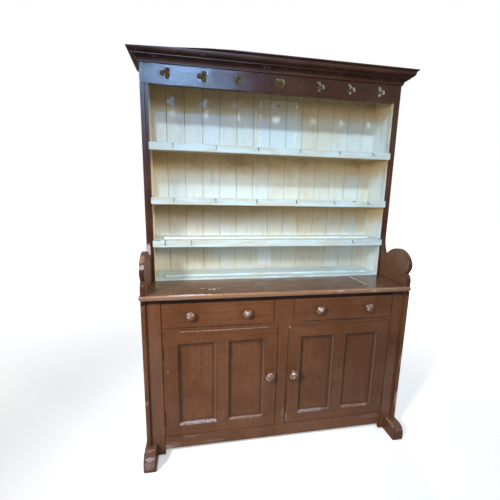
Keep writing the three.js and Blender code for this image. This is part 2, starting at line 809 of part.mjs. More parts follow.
// Cornice: its outline goes outwards from the frieze and upwards
function corniceOutline() {
  const path = new THREE.Path();
  path.moveTo(fitGap / 2, 0);
  path.lineTo(bedOut, 0);
  path.lineTo(bedOut, bedHeight);
  path.quadraticCurveTo(
    mix(bedOut, coveOut, coveShares.out),
    mix(bedHeight, coveHeight, coveShares.up),
    coveOut,
    coveHeight,
  );
  path.lineTo(filletOut, coveHeight);
  path.lineTo(filletOut, filletHeight);
  path.lineTo(filletOut + quirk, filletHeight);
  path.quadraticCurveTo(ovoloOut, filletHeight + quirk, ovoloOut, ovoloHeight);
  path.lineTo(corniceProjection, corniceHeight - lipHeight);
  path.lineTo(corniceProjection, corniceHeight);
  path.lineTo(fitGap / 2, corniceHeight);
  return path.getPoints(curveSteps);
}

// A straight moulding between two places of its outline.
function mouldingRun(outline, placeStart, placeEnd) {
  const count = outline.length;
  const positions = [...outline.map(placeStart), ...outline.map(placeEnd)].flat();
  const indices = outline.flatMap((_, i) => {
    const next = (i + 1) % count;
    return [i, next, count + next, i, count + next, count + i];
  });
  THREE.ShapeUtils.triangulateShape(outline, []).forEach(([a, b, c]) => {
    indices.push(a, c, b, count + a, count + b, count + c);
  });
  const geometry = new THREE.BufferGeometry();
  geometry.setAttribute('position', new THREE.Float32BufferAttribute(positions, 3));
  geometry.setIndex(indices);
  return geometry;
}

// The wedge that has been taken off the top, towards the left end.
function topWedge() {
  const left = -rackWidth / 2 - corniceProjection;
  const [start, end] = [left - overrun, left + topFallLength];
  const outline = polygon([
    [start, corniceHeight - topFall],
    [end, corniceHeight],
    [end, corniceHeight + overrun],
    [start, corniceHeight + overrun],
  ]);
  const depth = rackDepth + corniceProjection + overrun * 2;
  const geometry = new THREE.ExtrudeGeometry(outline, { depth, bevelEnabled: false });
  return standing(geometry).translate(0, overrun, 0);
}

function cornice() {
  const outline = corniceOutline();
  const wedge = topWedge();
  const half = rackWidth / 2;
  const place = (side, forward, inset) => ({ x: out, y: up }) => [
    side * (half + out - inset),
    -forward(out),
    up,
  ];
  const frontMitre = (side) => place(side, (out) => rackDepth + out, fitGap);
  const sideMitre = (side) => place(side, (out) => rackDepth + out - fitGap, 0);
  const sideBack = (side) => place(side, () => fitGap / 2, 0);
  const runs = {
    cornice_front: mouldingRun(outline, frontMitre(1), frontMitre(-1)),
    cornice_left: mouldingRun(outline, sideMitre(-1), sideBack(-1)),
    cornice_right: mouldingRun(outline, sideBack(1), sideMitre(1)),
  };
  return Object.entries(runs).map(([name, run]) => {
    return piece(name, brownPaint, carve(run, [wedge]), 0, 0, corniceBottom);
  });
}

function rack() {
  const group = groupOf([
    rackSide('rack_side_left', -1),
    rackSide('rack_side_right', 1),
    innerStrip('inner_strip_left', -1),
    innerStrip('inner_strip_right', 1),
    frieze(),
    ...cornice(),
    board('rack_top', brownPaint, centred(rackWidth), [0, rackDepth], [rackTopBottom, rackHeight]),
    ...shelves(),
    rackShelf('rack_base_board', creamPaint, [0, baseBoardThickness], true),
    matchboarding('rack_back', creamPaint, rackInner * 2, 0, rackTopBottom),
  ]);
  group.position.z = worktopHeight;
  return group;
}

// The whole dresser, with its back half the foot's length behind the origin and its feet on the floor
function dresser() {
  const leftHinges = doorHinges('door_left', -1);
  const rightHinges = doorHinges('door_right', 1);
  const group = groupOf([
    carcass(leftHinges, rightHinges),
    ...[...leftHinges, ...rightHinges].map((pair) => pair.framePiece),
    drawer('drawer_left', -1),
    drawer('drawer_right', 1),
    door('door_left', -1, leftHinges),
    door('door_right', 1, rightHinges),
    rack(),
  ]);
  group.position.set(0, footLength / 2, -fitGap / 2);
  return groupOf([group]);
}

export default dresser();
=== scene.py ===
# The looks of the painted dresser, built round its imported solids. Lengths are in metres.
import math

import bpy
from mathutils import Matrix, Vector


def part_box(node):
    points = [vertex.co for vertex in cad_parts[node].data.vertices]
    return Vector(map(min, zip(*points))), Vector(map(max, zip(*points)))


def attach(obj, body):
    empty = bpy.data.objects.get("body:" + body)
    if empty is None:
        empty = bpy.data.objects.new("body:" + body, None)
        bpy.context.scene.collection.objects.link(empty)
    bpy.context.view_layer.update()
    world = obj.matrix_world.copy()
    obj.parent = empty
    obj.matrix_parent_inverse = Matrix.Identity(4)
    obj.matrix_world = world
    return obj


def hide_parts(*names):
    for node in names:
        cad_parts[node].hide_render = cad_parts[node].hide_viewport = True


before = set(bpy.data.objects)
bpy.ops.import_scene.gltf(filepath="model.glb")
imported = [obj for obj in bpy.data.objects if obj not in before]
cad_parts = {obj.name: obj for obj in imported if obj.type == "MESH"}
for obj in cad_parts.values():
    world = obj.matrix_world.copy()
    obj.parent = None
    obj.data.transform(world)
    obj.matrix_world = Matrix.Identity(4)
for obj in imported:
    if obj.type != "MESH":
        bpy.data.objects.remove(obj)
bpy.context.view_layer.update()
bpy.ops.object.select_all(action="DESELECT")

BOTH = ("left", "right")
LEVELS = ("upper", "lower")
SHELVES = ("upper", "middle", "lower")

# Colours of the finishes, as they look in plain light
BROWN = (0.106, 0.038, 0.014, 1)
BROWN_DARK = (0.066, 0.021, 0.008, 1)
BROWN_LIGHT = (0.140, 0.056, 0.025, 1)
# Pale haze of old paint, also laid on as a painted sheen on faces where light falls
BROWN_HAZE_AND_SHEEN = (0.200, 0.115, 0.090, 1)
RACK_DARK = (0.034, 0.010, 0.006, 1)
RACK_BROWN = (0.056, 0.018, 0.010, 1)
RACK_LIGHT = (0.090, 0.034, 0.020, 1)
WORKTOP_BROWN = (0.152, 0.075, 0.042, 1)
WORKTOP_LIGHT = (0.195, 0.108, 0.066, 1)
PRIMER = (0.420, 0.270, 0.200, 1)
# Pale lilac wear, also laid on as painted glare and glints on the left ear, the mouldings, a foot
# and the knobs
LILAC_WEAR_AND_SHEEN = (0.480, 0.400, 0.430, 1)
GREY_WEAR = (0.260, 0.235, 0.215, 1)
# Tan wear, also a painted highlight along the top of the worktop's front edge
TAN_WEAR_AND_HIGHLIGHT = (0.400, 0.220, 0.130, 1)
# Black for knots, cracks and soot, and for painted shade in gaps, creases, on edges and under the
# worktop
SOOT_AND_SHADE = (0.010, 0.006, 0.005, 1)
STAIN = (0.150, 0.065, 0.030, 1)
CREAM = (0.680, 0.730, 0.690, 1)
CREAM_COOL = (0.660, 0.760, 0.800, 1)
# Yellowed cream, also laid on as painted shade below the frieze and shelves and on the shelves'
# undersides
CREAM_OLD_AND_SHADED = (0.600, 0.435, 0.220, 1)
# Dirty cream, also laid on as painted shade in the bay under the middle shelf and in the left
# piercings
CREAM_DIRT_AND_SHADE = (0.200, 0.165, 0.105, 1)
# Painted light: a lighter cream for the lit left inner wall of the rack
CREAM_PAINTED_LIGHT = (0.900, 0.780, 0.640, 1)
PAPER_BLUE = (0.620, 0.760, 0.840, 1)
# White for paper, specks and a scratch, and also a painted highlight on the worktop's nose
PAPER_WHITE_AND_HIGHLIGHT = (0.860, 0.900, 0.900, 1)
PATCH_BLUE = (0.800, 0.890, 1.000, 1)
EDGE_WHITE = (0.540, 0.670, 0.730, 1)
EDGE_WARM = (0.510, 0.570, 0.550, 1)
PINE = (0.420, 0.250, 0.120, 1)
PINE_DARK = (0.230, 0.115, 0.050, 1)
IRON = (0.045, 0.028, 0.022, 1)
RUST = (0.130, 0.050, 0.022, 1)
HOOK_METAL = (0.200, 0.200, 0.205, 1)

# The dark, plain and light tones of each brown
BASE_TONES = (BROWN_DARK, BROWN, BROWN_LIGHT)
RACK_TONES = (RACK_DARK, RACK_BROWN, RACK_LIGHT)
EAR_TONES = (BROWN, BROWN_LIGHT, BROWN_HAZE_AND_SHEEN)
WORKTOP_TONES = (BROWN, WORKTOP_BROWN, WORKTOP_LIGHT)

# Brush strokes and grain that run along an axis, in repeats per metre along x, y and z
GRAIN = {"x": (2.5, 170, 170), "y": (170, 2.5, 170), "z": (170, 170, 2.5)}
CREAM_GRAIN = (120, 120, 3)

# Camera, with the photograph's place, direction and field of view
CAMERA_PLACE = Vector((-0.4377, -1.5752, 1.3340))
CAMERA_YAW = math.radians(10.12)
CAMERA_PITCH = math.radians(-10.58)
CAMERA_ROLL = math.radians(1.10)
SENSOR_WIDTH = 36
FRAME_PIXELS = 500
FOCAL_PIXELS = 300.87
AXIS_PIXEL = (248.52, 253.68)


def place_camera():
    forward = Vector((
        math.sin(CAMERA_YAW) * math.cos(CAMERA_PITCH),
        math.cos(CAMERA_YAW) * math.cos(CAMERA_PITCH),
        math.sin(CAMERA_PITCH),
    ))
    level_right = Vector((math.cos(CAMERA_YAW), -math.sin(CAMERA_YAW), 0))
    level_up = level_right.cross(forward)
    right = math.cos(CAMERA_ROLL) * level_right + math.sin(CAMERA_ROLL) * level_up
    up = right.cross(forward)
    lens = bpy.data.cameras.new("camera")
    lens.sensor_width = SENSOR_WIDTH
    lens.lens = SENSOR_WIDTH * FOCAL_PIXELS / FRAME_PIXELS
    lens.shift_x = 0.5 - AXIS_PIXEL[0] / FRAME_PIXELS
    lens.shift_y = AXIS_PIXEL[1] / FRAME_PIXELS - 0.5
    camera = bpy.data.objects.new("camera", lens)
    turn = Matrix((right, up, -forward)).transposed().to_4x4()
    camera.matrix_world = Matrix.Translation(CAMERA_PLACE) @ turn
    bpy.context.scene.collection.objects.link(camera)
    bpy.context.scene.camera = camera


# Studio: lamps, world and floor
AMBIENT = 0.17
COOL_LIGHT = (0.62, 0.83, 1.0)
WINDOW_LIGHT = (0.26, 0.54, 1.0)
WARM_LIGHT = (1.0, 0.82, 0.58)
PALE_LIGHT = (1.0, 0.94, 0.84)
FLOOR_WIDTH = 30
FLOOR_GREY = (0.8, 0.8, 0.8, 1)
FLOOR_ROUGHNESS = 0.9
FLOOR_GLOW = 0.4
GLOW_STARTS, GLOW_IS_FULL = 1.2, 4.0


def lamp(name, place, target, size, power, spread=180, colour=(1, 1, 1)):
    """A soft box that throws its light within a spread of so many degrees; gives its holder."""
    light = bpy.data.lights.new(name, "AREA")
    light.shape = "RECTANGLE"
    light.size, light.size_y = size
    light.energy = power
    light.spread = math.radians(spread)
    light.color = colour
    holder = bpy.data.objects.new(name, light)
    aim = (Vector(target) - Vector(place)).to_track_quat("-Z", "Y")
    holder.matrix_world = Matrix.Translation(place) @ aim.to_matrix().to_4x4()
    bpy.context.scene.collection.objects.link(holder)
    return holder


def light_dresser():
    """A cool window in front and above, weaker light of the room, and a lamp behind."""
    lamp(
        "key_light", place=(-0.85, -4.0, 4.50), target=(0.55, 0.2, 1.35),
        size=(0.13, 0.38), power=22.5, spread=64, colour=COOL_LIGHT,
    )
    sky_glare = lamp(
        "sky_glare", place=(-0.72, -4.5, 3.47), target=(-0.5, 0.05, 1.93),
        size=(0.36, 0.22), power=5.0, spread=20, colour=WINDOW_LIGHT,
    )
    sky_glare.visible_diffuse = False  # it only shows in the gloss, as on the frieze
    lamp(
        "base_light", place=(-2.4, -2.4, 2.5), target=(-0.12, -0.2, 0.25),
        size=(0.4, 0.4), power=9.3, spread=42,
    )
    lamp(
        "rack_fill", place=(2.6, -2.8, 2.2), target=(-0.80, 0.10, 1.10),
        size=(0.8, 0.8), power=2.9, spread=24, colour=WARM_LIGHT,
    )
    lamp(
        "room_light", place=(-2.3, -2.6, 1.6), target=(0.75, 0.15, 1.45),
        size=(0.8, 0.8), power=2.2, spread=30, colour=PALE_LIGHT,
    )
    lamp("back_light", place=(1.2, 4.6, 3.6), target=(0, 0, 1), size=(1.5, 1.5), power=110)


def white_backdrop():
    """Even light from all round, and plain white for the camera, mirrored and clear paths."""
    world = bpy.data.worlds.new("studio")
    bpy.context.scene.world = world
    world.use_nodes = True
    tree = world.node_tree
    path = tree.nodes.new("ShaderNodeLightPath")
    seen = path.outputs["Is Camera Ray"]
    for name in ("Is Glossy Ray", "Is Transmission Ray"):
        either = tree.nodes.new("ShaderNodeMath")
        either.operation = "MAXIMUM"
        tree.links.new(seen, either.inputs[0])
        tree.links.new(path.outputs[name], either.inputs[1])
        seen = either.outputs[0]
    strength = tree.nodes.new("ShaderNodeMapRange")
    strength.inputs["To Min"].default_value = AMBIENT
    strength.inputs["To Max"].default_value = 1.0
    tree.links.new(seen, strength.inputs["Value"])
    background = tree.nodes["Background"]
    background.inputs["Color"].default_value = (1, 1, 1, 1)
    tree.links.new(strength.outputs[0], background.inputs["Strength"])


def pale_floor():
    """A floor that keeps the dresser's shadow and goes over into the white further out."""
    bpy.ops.mesh.primitive_plane_add(size=FLOOR_WIDTH, location=(0, 0, 0))
    floor = bpy.context.object
    floor.name = "floor"
    material = bpy.data.materials.new("pale_floor")
    material.use_nodes = True
    nodes = material.node_tree.nodes
    links = material.node_tree.links
    shader = nodes["Principled BSDF"]
    shader.inputs["Base Color"].default_value = FLOOR_GREY
    shader.inputs["Roughness"].default_value = FLOOR_ROUGHNESS
    shader.inputs["Emission Color"].default_value = (1, 1, 1, 1)
    path = nodes.new("ShaderNodeLightPath")
    place = nodes.new("ShaderNodeTexCoord")
    distance = nodes.new("ShaderNodeVectorMath")
    distance.operation = "LENGTH"
    links.new(place.outputs["Object"], distance.inputs[0])
    spread = nodes.new("ShaderNodeMapRange")
    spread.inputs["From Min"].default_value = GLOW_STARTS
    spread.inputs["From Max"].default_value = GLOW_IS_FULL
    spread.inputs["To Min"].default_value = FLOOR_GLOW
    spread.inputs["To Max"].default_value = 1.0
    links.new(distance.outputs["Value"], spread.inputs["Value"])
    glow = nodes.new("ShaderNodeMath")
    glow.operation = "MULTIPLY"
    links.new(path.outputs["Is Camera Ray"], glow.inputs[0])
    links.new(spread.outputs[0], glow.inputs[1])
    links.new(glow.outputs[0], shader.inputs["Emission Strength"])
    floor.data.materials.append(material)
    floor.select_set(False)


place_camera()
light_dresser()
white_backdrop()
pale_floor()
bpy.context.scene.view_settings.view_transform = "Standard"

# Edges of boards, by the share of the surface's direction that lies along one axis
ARRIS_STARTS, ARRIS_IS_FULL = 0.9, 0.8

# Marks, by the distance from their middle in half sizes with the clouds' height added
MARK_CLOUDS = 60
MARK_ENDS, MARK_IS_FULL = 1.5, 1.25


class Finish:
    """The node tree of one finish, with the patterns and masks that the finishes share."""

    def __init__(self, name):
        self.material = bpy.data.materials.new(name)
        self.material.use_nodes = True
        self.nodes = self.material.node_tree.nodes
        self.shader = self.nodes["Principled BSDF"]
        coordinates = self.add("ShaderNodeTexCoord")
        self.place = coordinates.outputs["Object"]
        self.x, self.y, self.z = self.split(self.place)
        normal = coordinates.outputs["Normal"]
        self.rightward, self.backward, self.upward = self.split(normal)
        flat = self.add("ShaderNodeVectorMath", {0: normal}, operation="ABSOLUTE")
        self.flat_x, self.flat_y, self.flat_z = self.split(flat.outputs[0])

    def add(self, kind, feeds=None, **settings):
        node = self.nodes.new(kind)
        for key, value in settings.items():
            setattr(node, key, value)
        for socket, value in (feeds or {}).items():
            self.feed(node.inputs[socket], value)
        return node

    def feed(self, socket, value):
        if isinstance(value, bpy.types.NodeSocket):
            self.material.node_tree.links.new(value, socket)
        else:
            socket.default_value = value

    def split(self, vector):
        return self.add("ShaderNodeSeparateXYZ", {0: vector}).outputs

    def maths(self, operation, first, second=0.0):
        node = self.add("ShaderNodeMath", {0: first, 1: second}, operation=operation)
        return node.outputs[0]

    def plus(self, first, second):
        return self.maths("ADD", first, second)

    def minus(self, first, second):
        return self.maths("SUBTRACT", first, second)

    def both(self, first, *others):
        """Where all the masks hold, weakened by any number among them."""
        for other in others:
            first = self.maths("MULTIPLY", first, other)
        return first

    def either(self, first, *others):
        """Where any of the masks holds."""
        for other in others:
            first = self.maths("MAXIMUM", first, other)
        return first

    def level(self, value, low, high):
        """0 below low and 1 above high, or the other way round where low is the greater."""
        feeds = {"Value": value, "From Min": low, "From Max": high}
        node = self.add("ShaderNodeMapRange", feeds, interpolation_type="SMOOTHSTEP")
        return node.outputs[0]

    def band(self, value, low, high, soft):
        """1 between two places along an axis, with a soft edge."""
        rise = self.level(value, low - soft, low + soft)
        fall = self.level(value, high + soft, high - soft)
        return self.both(rise, fall)

    def noise(self, scale, detail=3.0, roughness=0.55, distortion=0.0, shift=(0, 0, 0)):
        """Clouds of so many per metre; a shift keeps two patterns of like scale apart."""
        stretch = scale if isinstance(scale, tuple) else (scale, scale, scale)
        feeds = {"Vector": self.place, "Location": shift, "Scale": stretch}
        mapping = self.add("ShaderNodeMapping", feeds)
        feeds = {
            "Vector": mapping.outputs[0],
            "Scale": 1.0,
            "Detail": detail,
            "Roughness": roughness,
            "Distortion": distortion,
        }
        return self.add("ShaderNodeTexNoise", feeds).outputs["Fac"]

    def strokes(self, grain, roughness=0.6):
        return self.noise(grain, 5, roughness)

    def patches(self, limits, scale, detail=3.0, roughness=0.55, shift=(0, 0, 0)):
        """0 where the clouds are under the first limit and 1 where they pass the second."""
        return self.level(self.noise(scale, detail, roughness, shift=shift), *limits)

    def ragged(self, reach, scale, detail, roughness):
        """An uneven distance, from half the reach below zero to half above it."""
        return self.both(self.minus(self.noise(scale, detail, roughness), 0.5), reach)

    def mark(self, centre, half_sizes):
        """A spot with an uneven edge about a place on the object."""
        feeds = {0: self.place, 1: centre}
        away = self.add("ShaderNodeVectorMath", feeds, operation="SUBTRACT")
        feeds = {0: away.outputs[0], 1: half_sizes}
        shares = self.add("ShaderNodeVectorMath", feeds, operation="DIVIDE")
        length = self.add("ShaderNodeVectorMath", {0: shares.outputs[0]}, operation="LENGTH")
        uneven = self.plus(length.outputs["Value"], self.noise(MARK_CLOUDS, 4))
        return self.level(uneven, MARK_ENDS, MARK_IS_FULL)

    def arris(self):
        """The softened edges of a board."""
        flattest = self.either(self.flat_x, self.flat_y, self.flat_z)
        return self.level(flattest, ARRIS_STARTS, ARRIS_IS_FULL)

    def outward(self):
        """How far the surface faces away from the dresser's middle, from -1 to 1."""
        return self.both(self.rightward, self.maths("SIGN", self.x))

    def blend(self, share, base, over):
        node = self.add("ShaderNodeMix", data_type="RGBA")
        self.feed(node.inputs[0], share)
        self.feed(node.inputs[6], base)
        self.feed(node.inputs[7], over)
        return node.outputs[2]

    def lay(self, colour, tint, strength, *masks):
        """Lays a tint of so much strength over a colour, where all the masks hold."""
        return self.blend(self.both(*masks, strength), colour, tint)

    def bump(self, *layers):
        """Joins heights, each with its depth in metres, to the shader's normal."""
        normal = None
        for height, depth in layers:
            feeds = {"Height": height, "Distance": depth, "Strength": 1.0}
            node = self.add("ShaderNodeBump", feeds)
            if normal:
                self.feed(node.inputs["Normal"], normal)
            normal = node.outputs[0]
        self.feed(self.shader.inputs["Normal"], normal)

    def brushed(self, strokes, waves=9, wave_depth=0.0012, stroke_depth=0.0002):
        """Gives a board its slight waves, with brush strokes on them."""
        self.bump((self.noise(waves, 2), wave_depth), (strokes, stroke_depth))

    def shine(self, amount):
        self.shader.inputs["Specular IOR Level"].default_value = amount

    def metal(self, amount):
        self.shader.inputs["Metallic"].default_value = amount

    def done(self, colour, pattern, spread, least):
        """Sets the colour, and a roughness that rises from the least by a pattern's spread."""
        self.feed(self.shader.inputs["Base Color"], colour)
        self.feed(self.shader.inputs["Roughness"], self.plus(self.both(pattern, spread), least))
        return self.material


# Levels and planes of the dresser, taken from its solids
worktop_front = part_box("worktop")[0].y
worktop_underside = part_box("worktop")[0].z
worktop_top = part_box("worktop")[1].z
rail_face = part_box("bottom_rail")[0].y
side_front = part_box("side_left")[0].y
door_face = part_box("door_left_frame")[0].y
door_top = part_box("door_left_frame")[1].z
back_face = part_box("rack_back")[0].y
frieze_low, frieze_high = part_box("frieze")
strip_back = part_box("inner_strip_left")[1].y
underside = {shelf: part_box(f"shelf_{shelf}")[0].z for shelf in SHELVES}
shelf_edge_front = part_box("shelf_edge_upper")[0].y

# How deep marks reach in from the faces that they lie on
BOARD_REACH = 0.020
SIDE_REACH = 0.012
WORKTOP_REACH = 0.020
NOSE_REACH = 0.012
BACK_REACH = 0.100
EDGE_REACH = 0.030


def worn(finish, colour, marks, within=1.0):
    """Lays marks over a colour, each with its centre, half sizes, tint and strength."""
    grit = finish.both(finish.patches((0.36, 0.56), 130, 4, 0.7, shift=(6, 6, 6)), within)
    for centre, half_sizes, tint, strength in marks:
        colour = finish.lay(colour, tint, strength, finish.mark(centre, half_sizes), grit)
    return colour


def on_face(plane, reach, marks):
    """Marks on an upright face, each given as x, z, half width, half height, tint, strength."""
    return [
        ((x, plane, z), (half_width, reach, half_height), tint, strength)
        for x, z, half_width, half_height, tint, strength in marks
    ]


# Brown paint
BASE_DUST_AND_SHEEN, WORKTOP_DUST_AND_SHEEN = 0.3, 0.1
BASE_SHINE, WORKTOP_SHINE, CORNICE_SHINE, CORNICE_END_SHINE = 0.26, 0.5, 0.22, 0.18
BOARD_ROUGHNESS, CORNICE_ROUGHNESS = 0.28, 0.42
# Reach and depth of the painted shadow under the worktop's front edge
SHADOW_REACHES, SHADOW_IS_FULL = 0.023, 0.015
SHADOW_BACK, SHADOW_FRONT = -0.150, -0.165


def brushed_brown(finish, strokes, arris, tones=BASE_TONES, upward_dust_and_sheen=BASE_DUST_AND_SHEEN, shine=BASE_SHINE):
    """Old gloss paint: uneven coats, brush strokes, rubbed edges, painted shade on edges, dust and
    painted sheen on top faces.
    """
    dark, plain, light = tones
    finish.shine(shine)
    colour = finish.blend(finish.patches((0.38, 0.62), 5, 4, 0.6), plain, light)
    colour = finish.lay(colour, dark, 0.4, finish.patches((0.55, 0.85), 13, shift=(3, 1, 2)))
    colour = finish.lay(colour, dark, 0.5, finish.level(strokes, 0.35, 0.7))
    grime = finish.patches((0.50, 0.66), 48, 6, 0.75, shift=(9, 3, 6))
    colour = finish.lay(colour, dark, 0.45, grime)
    haze = finish.both(finish.patches((0.58, 0.75), 28, 5, 0.7, shift=(7, 4, 1)), 0.2)
    # Dust with a painted sheen: faces that look up are laid on paler.
    dust_and_sheen = finish.both(finish.level(finish.upward, 0.3, 0.8), upward_dust_and_sheen)
    colour = finish.blend(finish.plus(haze, dust_and_sheen), colour, BROWN_HAZE_AND_SHEEN)
    # Painted shade: the edges of boards are darkened, as in the gaps between them.
    colour = finish.lay(colour, SOOT_AND_SHADE, 0.55, arris)
    rubbed = finish.patches((0.58, 0.70), 22, 5, 0.7, shift=(2, 8, 5))
    return finish.lay(colour, PRIMER, 0.5, arris, rubbed)


def worktop_shadow(finish, colour):
    """Painted shadow: faces just under the worktop's front edge are laid on nearly black."""
    return finish.lay(
        colour, SOOT_AND_SHADE, 0.97,
        finish.level(finish.z, worktop_underside - SHADOW_REACHES, worktop_underside - SHADOW_IS_FULL),
        finish.level(finish.z, worktop_underside + 0.002, worktop_underside),
        finish.level(finish.y, SHADOW_BACK, SHADOW_FRONT),
        finish.level(finish.flat_x, 0.8, 0.5),
    )


def gap_shade(finish, colour):
    """Painted shade: faces that look neither front nor back are dark, as inside the gaps between
    boards.
    """
    return finish.lay(colour, SOOT_AND_SHADE, 0.7, finish.level(finish.flat_y, 0.55, 0.25))


def brown_paint(
    name, grain, marks=(), gaps=False,
    tones=BASE_TONES, shine=BASE_SHINE, roughness=BOARD_ROUGHNESS,
):
    """The brown of a plain board, with its own marks, a painted shadow under the worktop and
    painted shade in any gaps.
    """
    finish = Finish(name)
    strokes = finish.strokes(GRAIN[grain])
    colour = brushed_brown(finish, strokes, finish.arris(), tones, shine=shine)
    colour = worn(finish, colour, marks)
    colour = worktop_shadow(finish, colour)
    if gaps:
        colour = gap_shade(finish, colour)
    finish.brushed(strokes)
    return finish.done(colour, finish.noise(40), spread=0.16, least=roughness)


def upright_brown():
    marks = on_face(rail_face, BOARD_REACH, [
        (0.0140, 0.194, 0.0080, 0.026, GREY_WEAR, 0.35),
        # Painted shade: the black marks at x 0.024 and 0.026 are the dark gap beside the right
        # door, the one at x 0.664 the shade at the right stile's edge.
        (0.0240, 0.158, 0.0060, 0.009, SOOT_AND_SHADE, 0.95),
        (0.0260, 0.255, 0.0055, 0.100, SOOT_AND_SHADE, 0.95),
        (-0.610, 0.160, 0.0120, 0.030, BROWN_HAZE_AND_SHEEN, 0.50),
        (-0.650, 0.430, 0.0600, 0.420, BROWN_HAZE_AND_SHEEN, 0.25),
        (0.650, 0.300, 0.0600, 0.250, BROWN_HAZE_AND_SHEEN, 0.25),
        (0.664, 0.450, 0.0060, 0.400, SOOT_AND_SHADE, 0.50),
    ])
    return brown_paint("upright_brown", "z", marks, gaps=True)


def side_brown():
    marks = on_face(side_front, SIDE_REACH, [
        (-0.685, 0.330, 0.012, 0.016, PRIMER, 0.35),
        (-0.690, 0.460, 0.010, 0.060, PRIMER, 0.15),
        (-0.690, 0.180, 0.010, 0.050, BROWN_HAZE_AND_SHEEN, 0.40),
        (0.690, 0.450, 0.010, 0.050, PRIMER, 0.80),
        (0.685, 0.210, 0.010, 0.055, PRIMER, 0.90),
    ])
    return brown_paint("side_brown", "z", marks)


def rail_brown():
    marks = on_face(rail_face, BOARD_REACH, [
        # Painted shade: two black lines for the dark gaps below the drawers.
        (-0.330, 0.7115, 0.310, 0.0045, SOOT_AND_SHADE, 0.95),
        (0.330, 0.7115, 0.310, 0.0045, SOOT_AND_SHADE, 0.95),
        (-0.570, 0.0700, 0.055, 0.0200, BROWN_HAZE_AND_SHEEN, 0.60),
        (-0.590, 0.0620, 0.030, 0.0100, LILAC_WEAR_AND_SHEEN, 0.45),
        (-0.470, 0.1100, 0.050, 0.0070, GREY_WEAR, 0.30),
        (-0.351, 0.0690, 0.060, 0.0070, GREY_WEAR, 0.25),
        (0.540, 0.1100, 0.060, 0.0150, BROWN_HAZE_AND_SHEEN, 0.50),
    ])
    return brown_paint("rail_brown", "x", marks, gaps=True)


def foot_brown():
    marks = [
        ((-0.673, -0.225, 0.087), (0.030, 0.012, 0.006), PRIMER, 0.6),
        # The lilac marks on the left foot are wear with a painted sheen.
        ((-0.673, -0.272, 0.050), (0.028, 0.020, 0.030), LILAC_WEAR_AND_SHEEN, 0.3),
        ((-0.668, -0.268, 0.072), (0.024, 0.020, 0.008), LILAC_WEAR_AND_SHEEN, 0.5),
        ((0.673, -0.262, 0.070), (0.025, 0.030, 0.012), BROWN_HAZE_AND_SHEEN, 0.6),
        ((0.645, -0.230, 0.083), (0.005, 0.050, 0.010), PRIMER, 0.6),
        ((0.698, -0.240, 0.080), (0.005, 0.050, 0.012), TAN_WEAR_AND_HIGHLIGHT, 0.6),
        ((0.673, -0.272, 0.028), (0.030, 0.020, 0.022), BROWN_DARK, 0.8),
    ]
    return brown_paint("foot_brown", "y", marks)


def cornice_brown(name, grain, shine):
    return brown_paint(
        name, grain, tones=RACK_TONES, shine=shine, roughness=CORNICE_ROUGHNESS
    )


SCRATCH_SLANT = 0.047
SCRATCH_LEFT, SCRATCH_RIGHT = 0.4655, 0.4710
SCRATCH_FRONT, SCRATCH_BACK = -0.125, 0.045


def worktop_paint():
    """Paler gloss, dry along the front edge, with a long white scratch, specks of paint, painted
    shade on the nose and a painted highlight along its top.
    """
    finish = Finish("worktop_gloss")
    strokes = finish.strokes(GRAIN["x"])
    # Painted shade and rubbing on the nose, as on a board's edge, at a quarter strength.
    nose = finish.both(finish.level(finish.y, worktop_front + 0.0085, worktop_front + 0.001), 0.25)
    colour = brushed_brown(finish, strokes, nose, WORKTOP_TONES, WORKTOP_DUST_AND_SHEEN, WORKTOP_SHINE)
    slanted = finish.plus(finish.x, finish.both(finish.y, SCRATCH_SLANT))
    colour = finish.lay(
        colour, PAPER_WHITE_AND_HIGHLIGHT, 0.9,
        finish.band(slanted, SCRATCH_LEFT, SCRATCH_RIGHT, soft=0.0012),
        finish.band(finish.y, SCRATCH_FRONT, SCRATCH_BACK, soft=0.004),
        finish.patches((0.30, 0.42), 60),
    )
    front = finish.level(finish.y, worktop_front + 0.0055, worktop_front + 0.0015)
    colour = finish.lay(colour, TAN_WEAR_AND_HIGHLIGHT, 0.30, front)
    specks = [
        ((-0.404, -0.103, worktop_top), (0.014, 0.006, WORKTOP_REACH), PAPER_WHITE_AND_HIGHLIGHT, 0.8),
        ((-0.372, -0.122, worktop_top), (0.009, 0.006, WORKTOP_REACH), PAPER_WHITE_AND_HIGHLIGHT, 0.8),
        ((-0.350, -0.124, worktop_top), (0.012, 0.008, WORKTOP_REACH), PAPER_WHITE_AND_HIGHLIGHT, 0.9),
        ((-0.325, -0.110, worktop_top), (0.006, 0.006, WORKTOP_REACH), PAPER_WHITE_AND_HIGHLIGHT, 0.7),
    ]
    knocks = on_face(worktop_front + 0.0015, NOSE_REACH, [
        (0.288, worktop_top - 0.009, 0.024, 0.005, LILAC_WEAR_AND_SHEEN, 0.6),
        (0.482, worktop_top - 0.014, 0.014, 0.005, LILAC_WEAR_AND_SHEEN, 0.6),
        # Painted highlight: the white line at x -0.470 along the nose's top.
        (-0.470, worktop_top - 0.003, 0.110, 0.0035, PAPER_WHITE_AND_HIGHLIGHT, 0.55),
        (-0.560, worktop_top - 0.012, 0.120, 0.007, BROWN_HAZE_AND_SHEEN, 0.6),
    ])
    colour = worn(finish, colour, specks + knocks)
    # Painted highlight: a pale line along the top of the front edge.
    colour = finish.lay(
        colour, TAN_WEAR_AND_HIGHLIGHT, 0.55,
        finish.band(finish.z, worktop_top - 0.0065, worktop_top - 0.002, soft=0.001),
        finish.level(finish.y, worktop_front + 0.0045, worktop_front + 0.003),
        finish.patches((0.35, 0.55), (8, 8, 30), 4, 0.7),
    )
    finish.brushed(strokes, waves=(5, 8, 8), wave_depth=0.0014, stroke_depth=0.00012)
    return finish.done(colour, finish.noise(25, 4), spread=0.14, least=0.13)


PANELS = [f"door_{door}_panel_{side}" for door in BOTH for side in BOTH]
PANEL_COVER = 0.021
PANEL_SHADE = 0.008


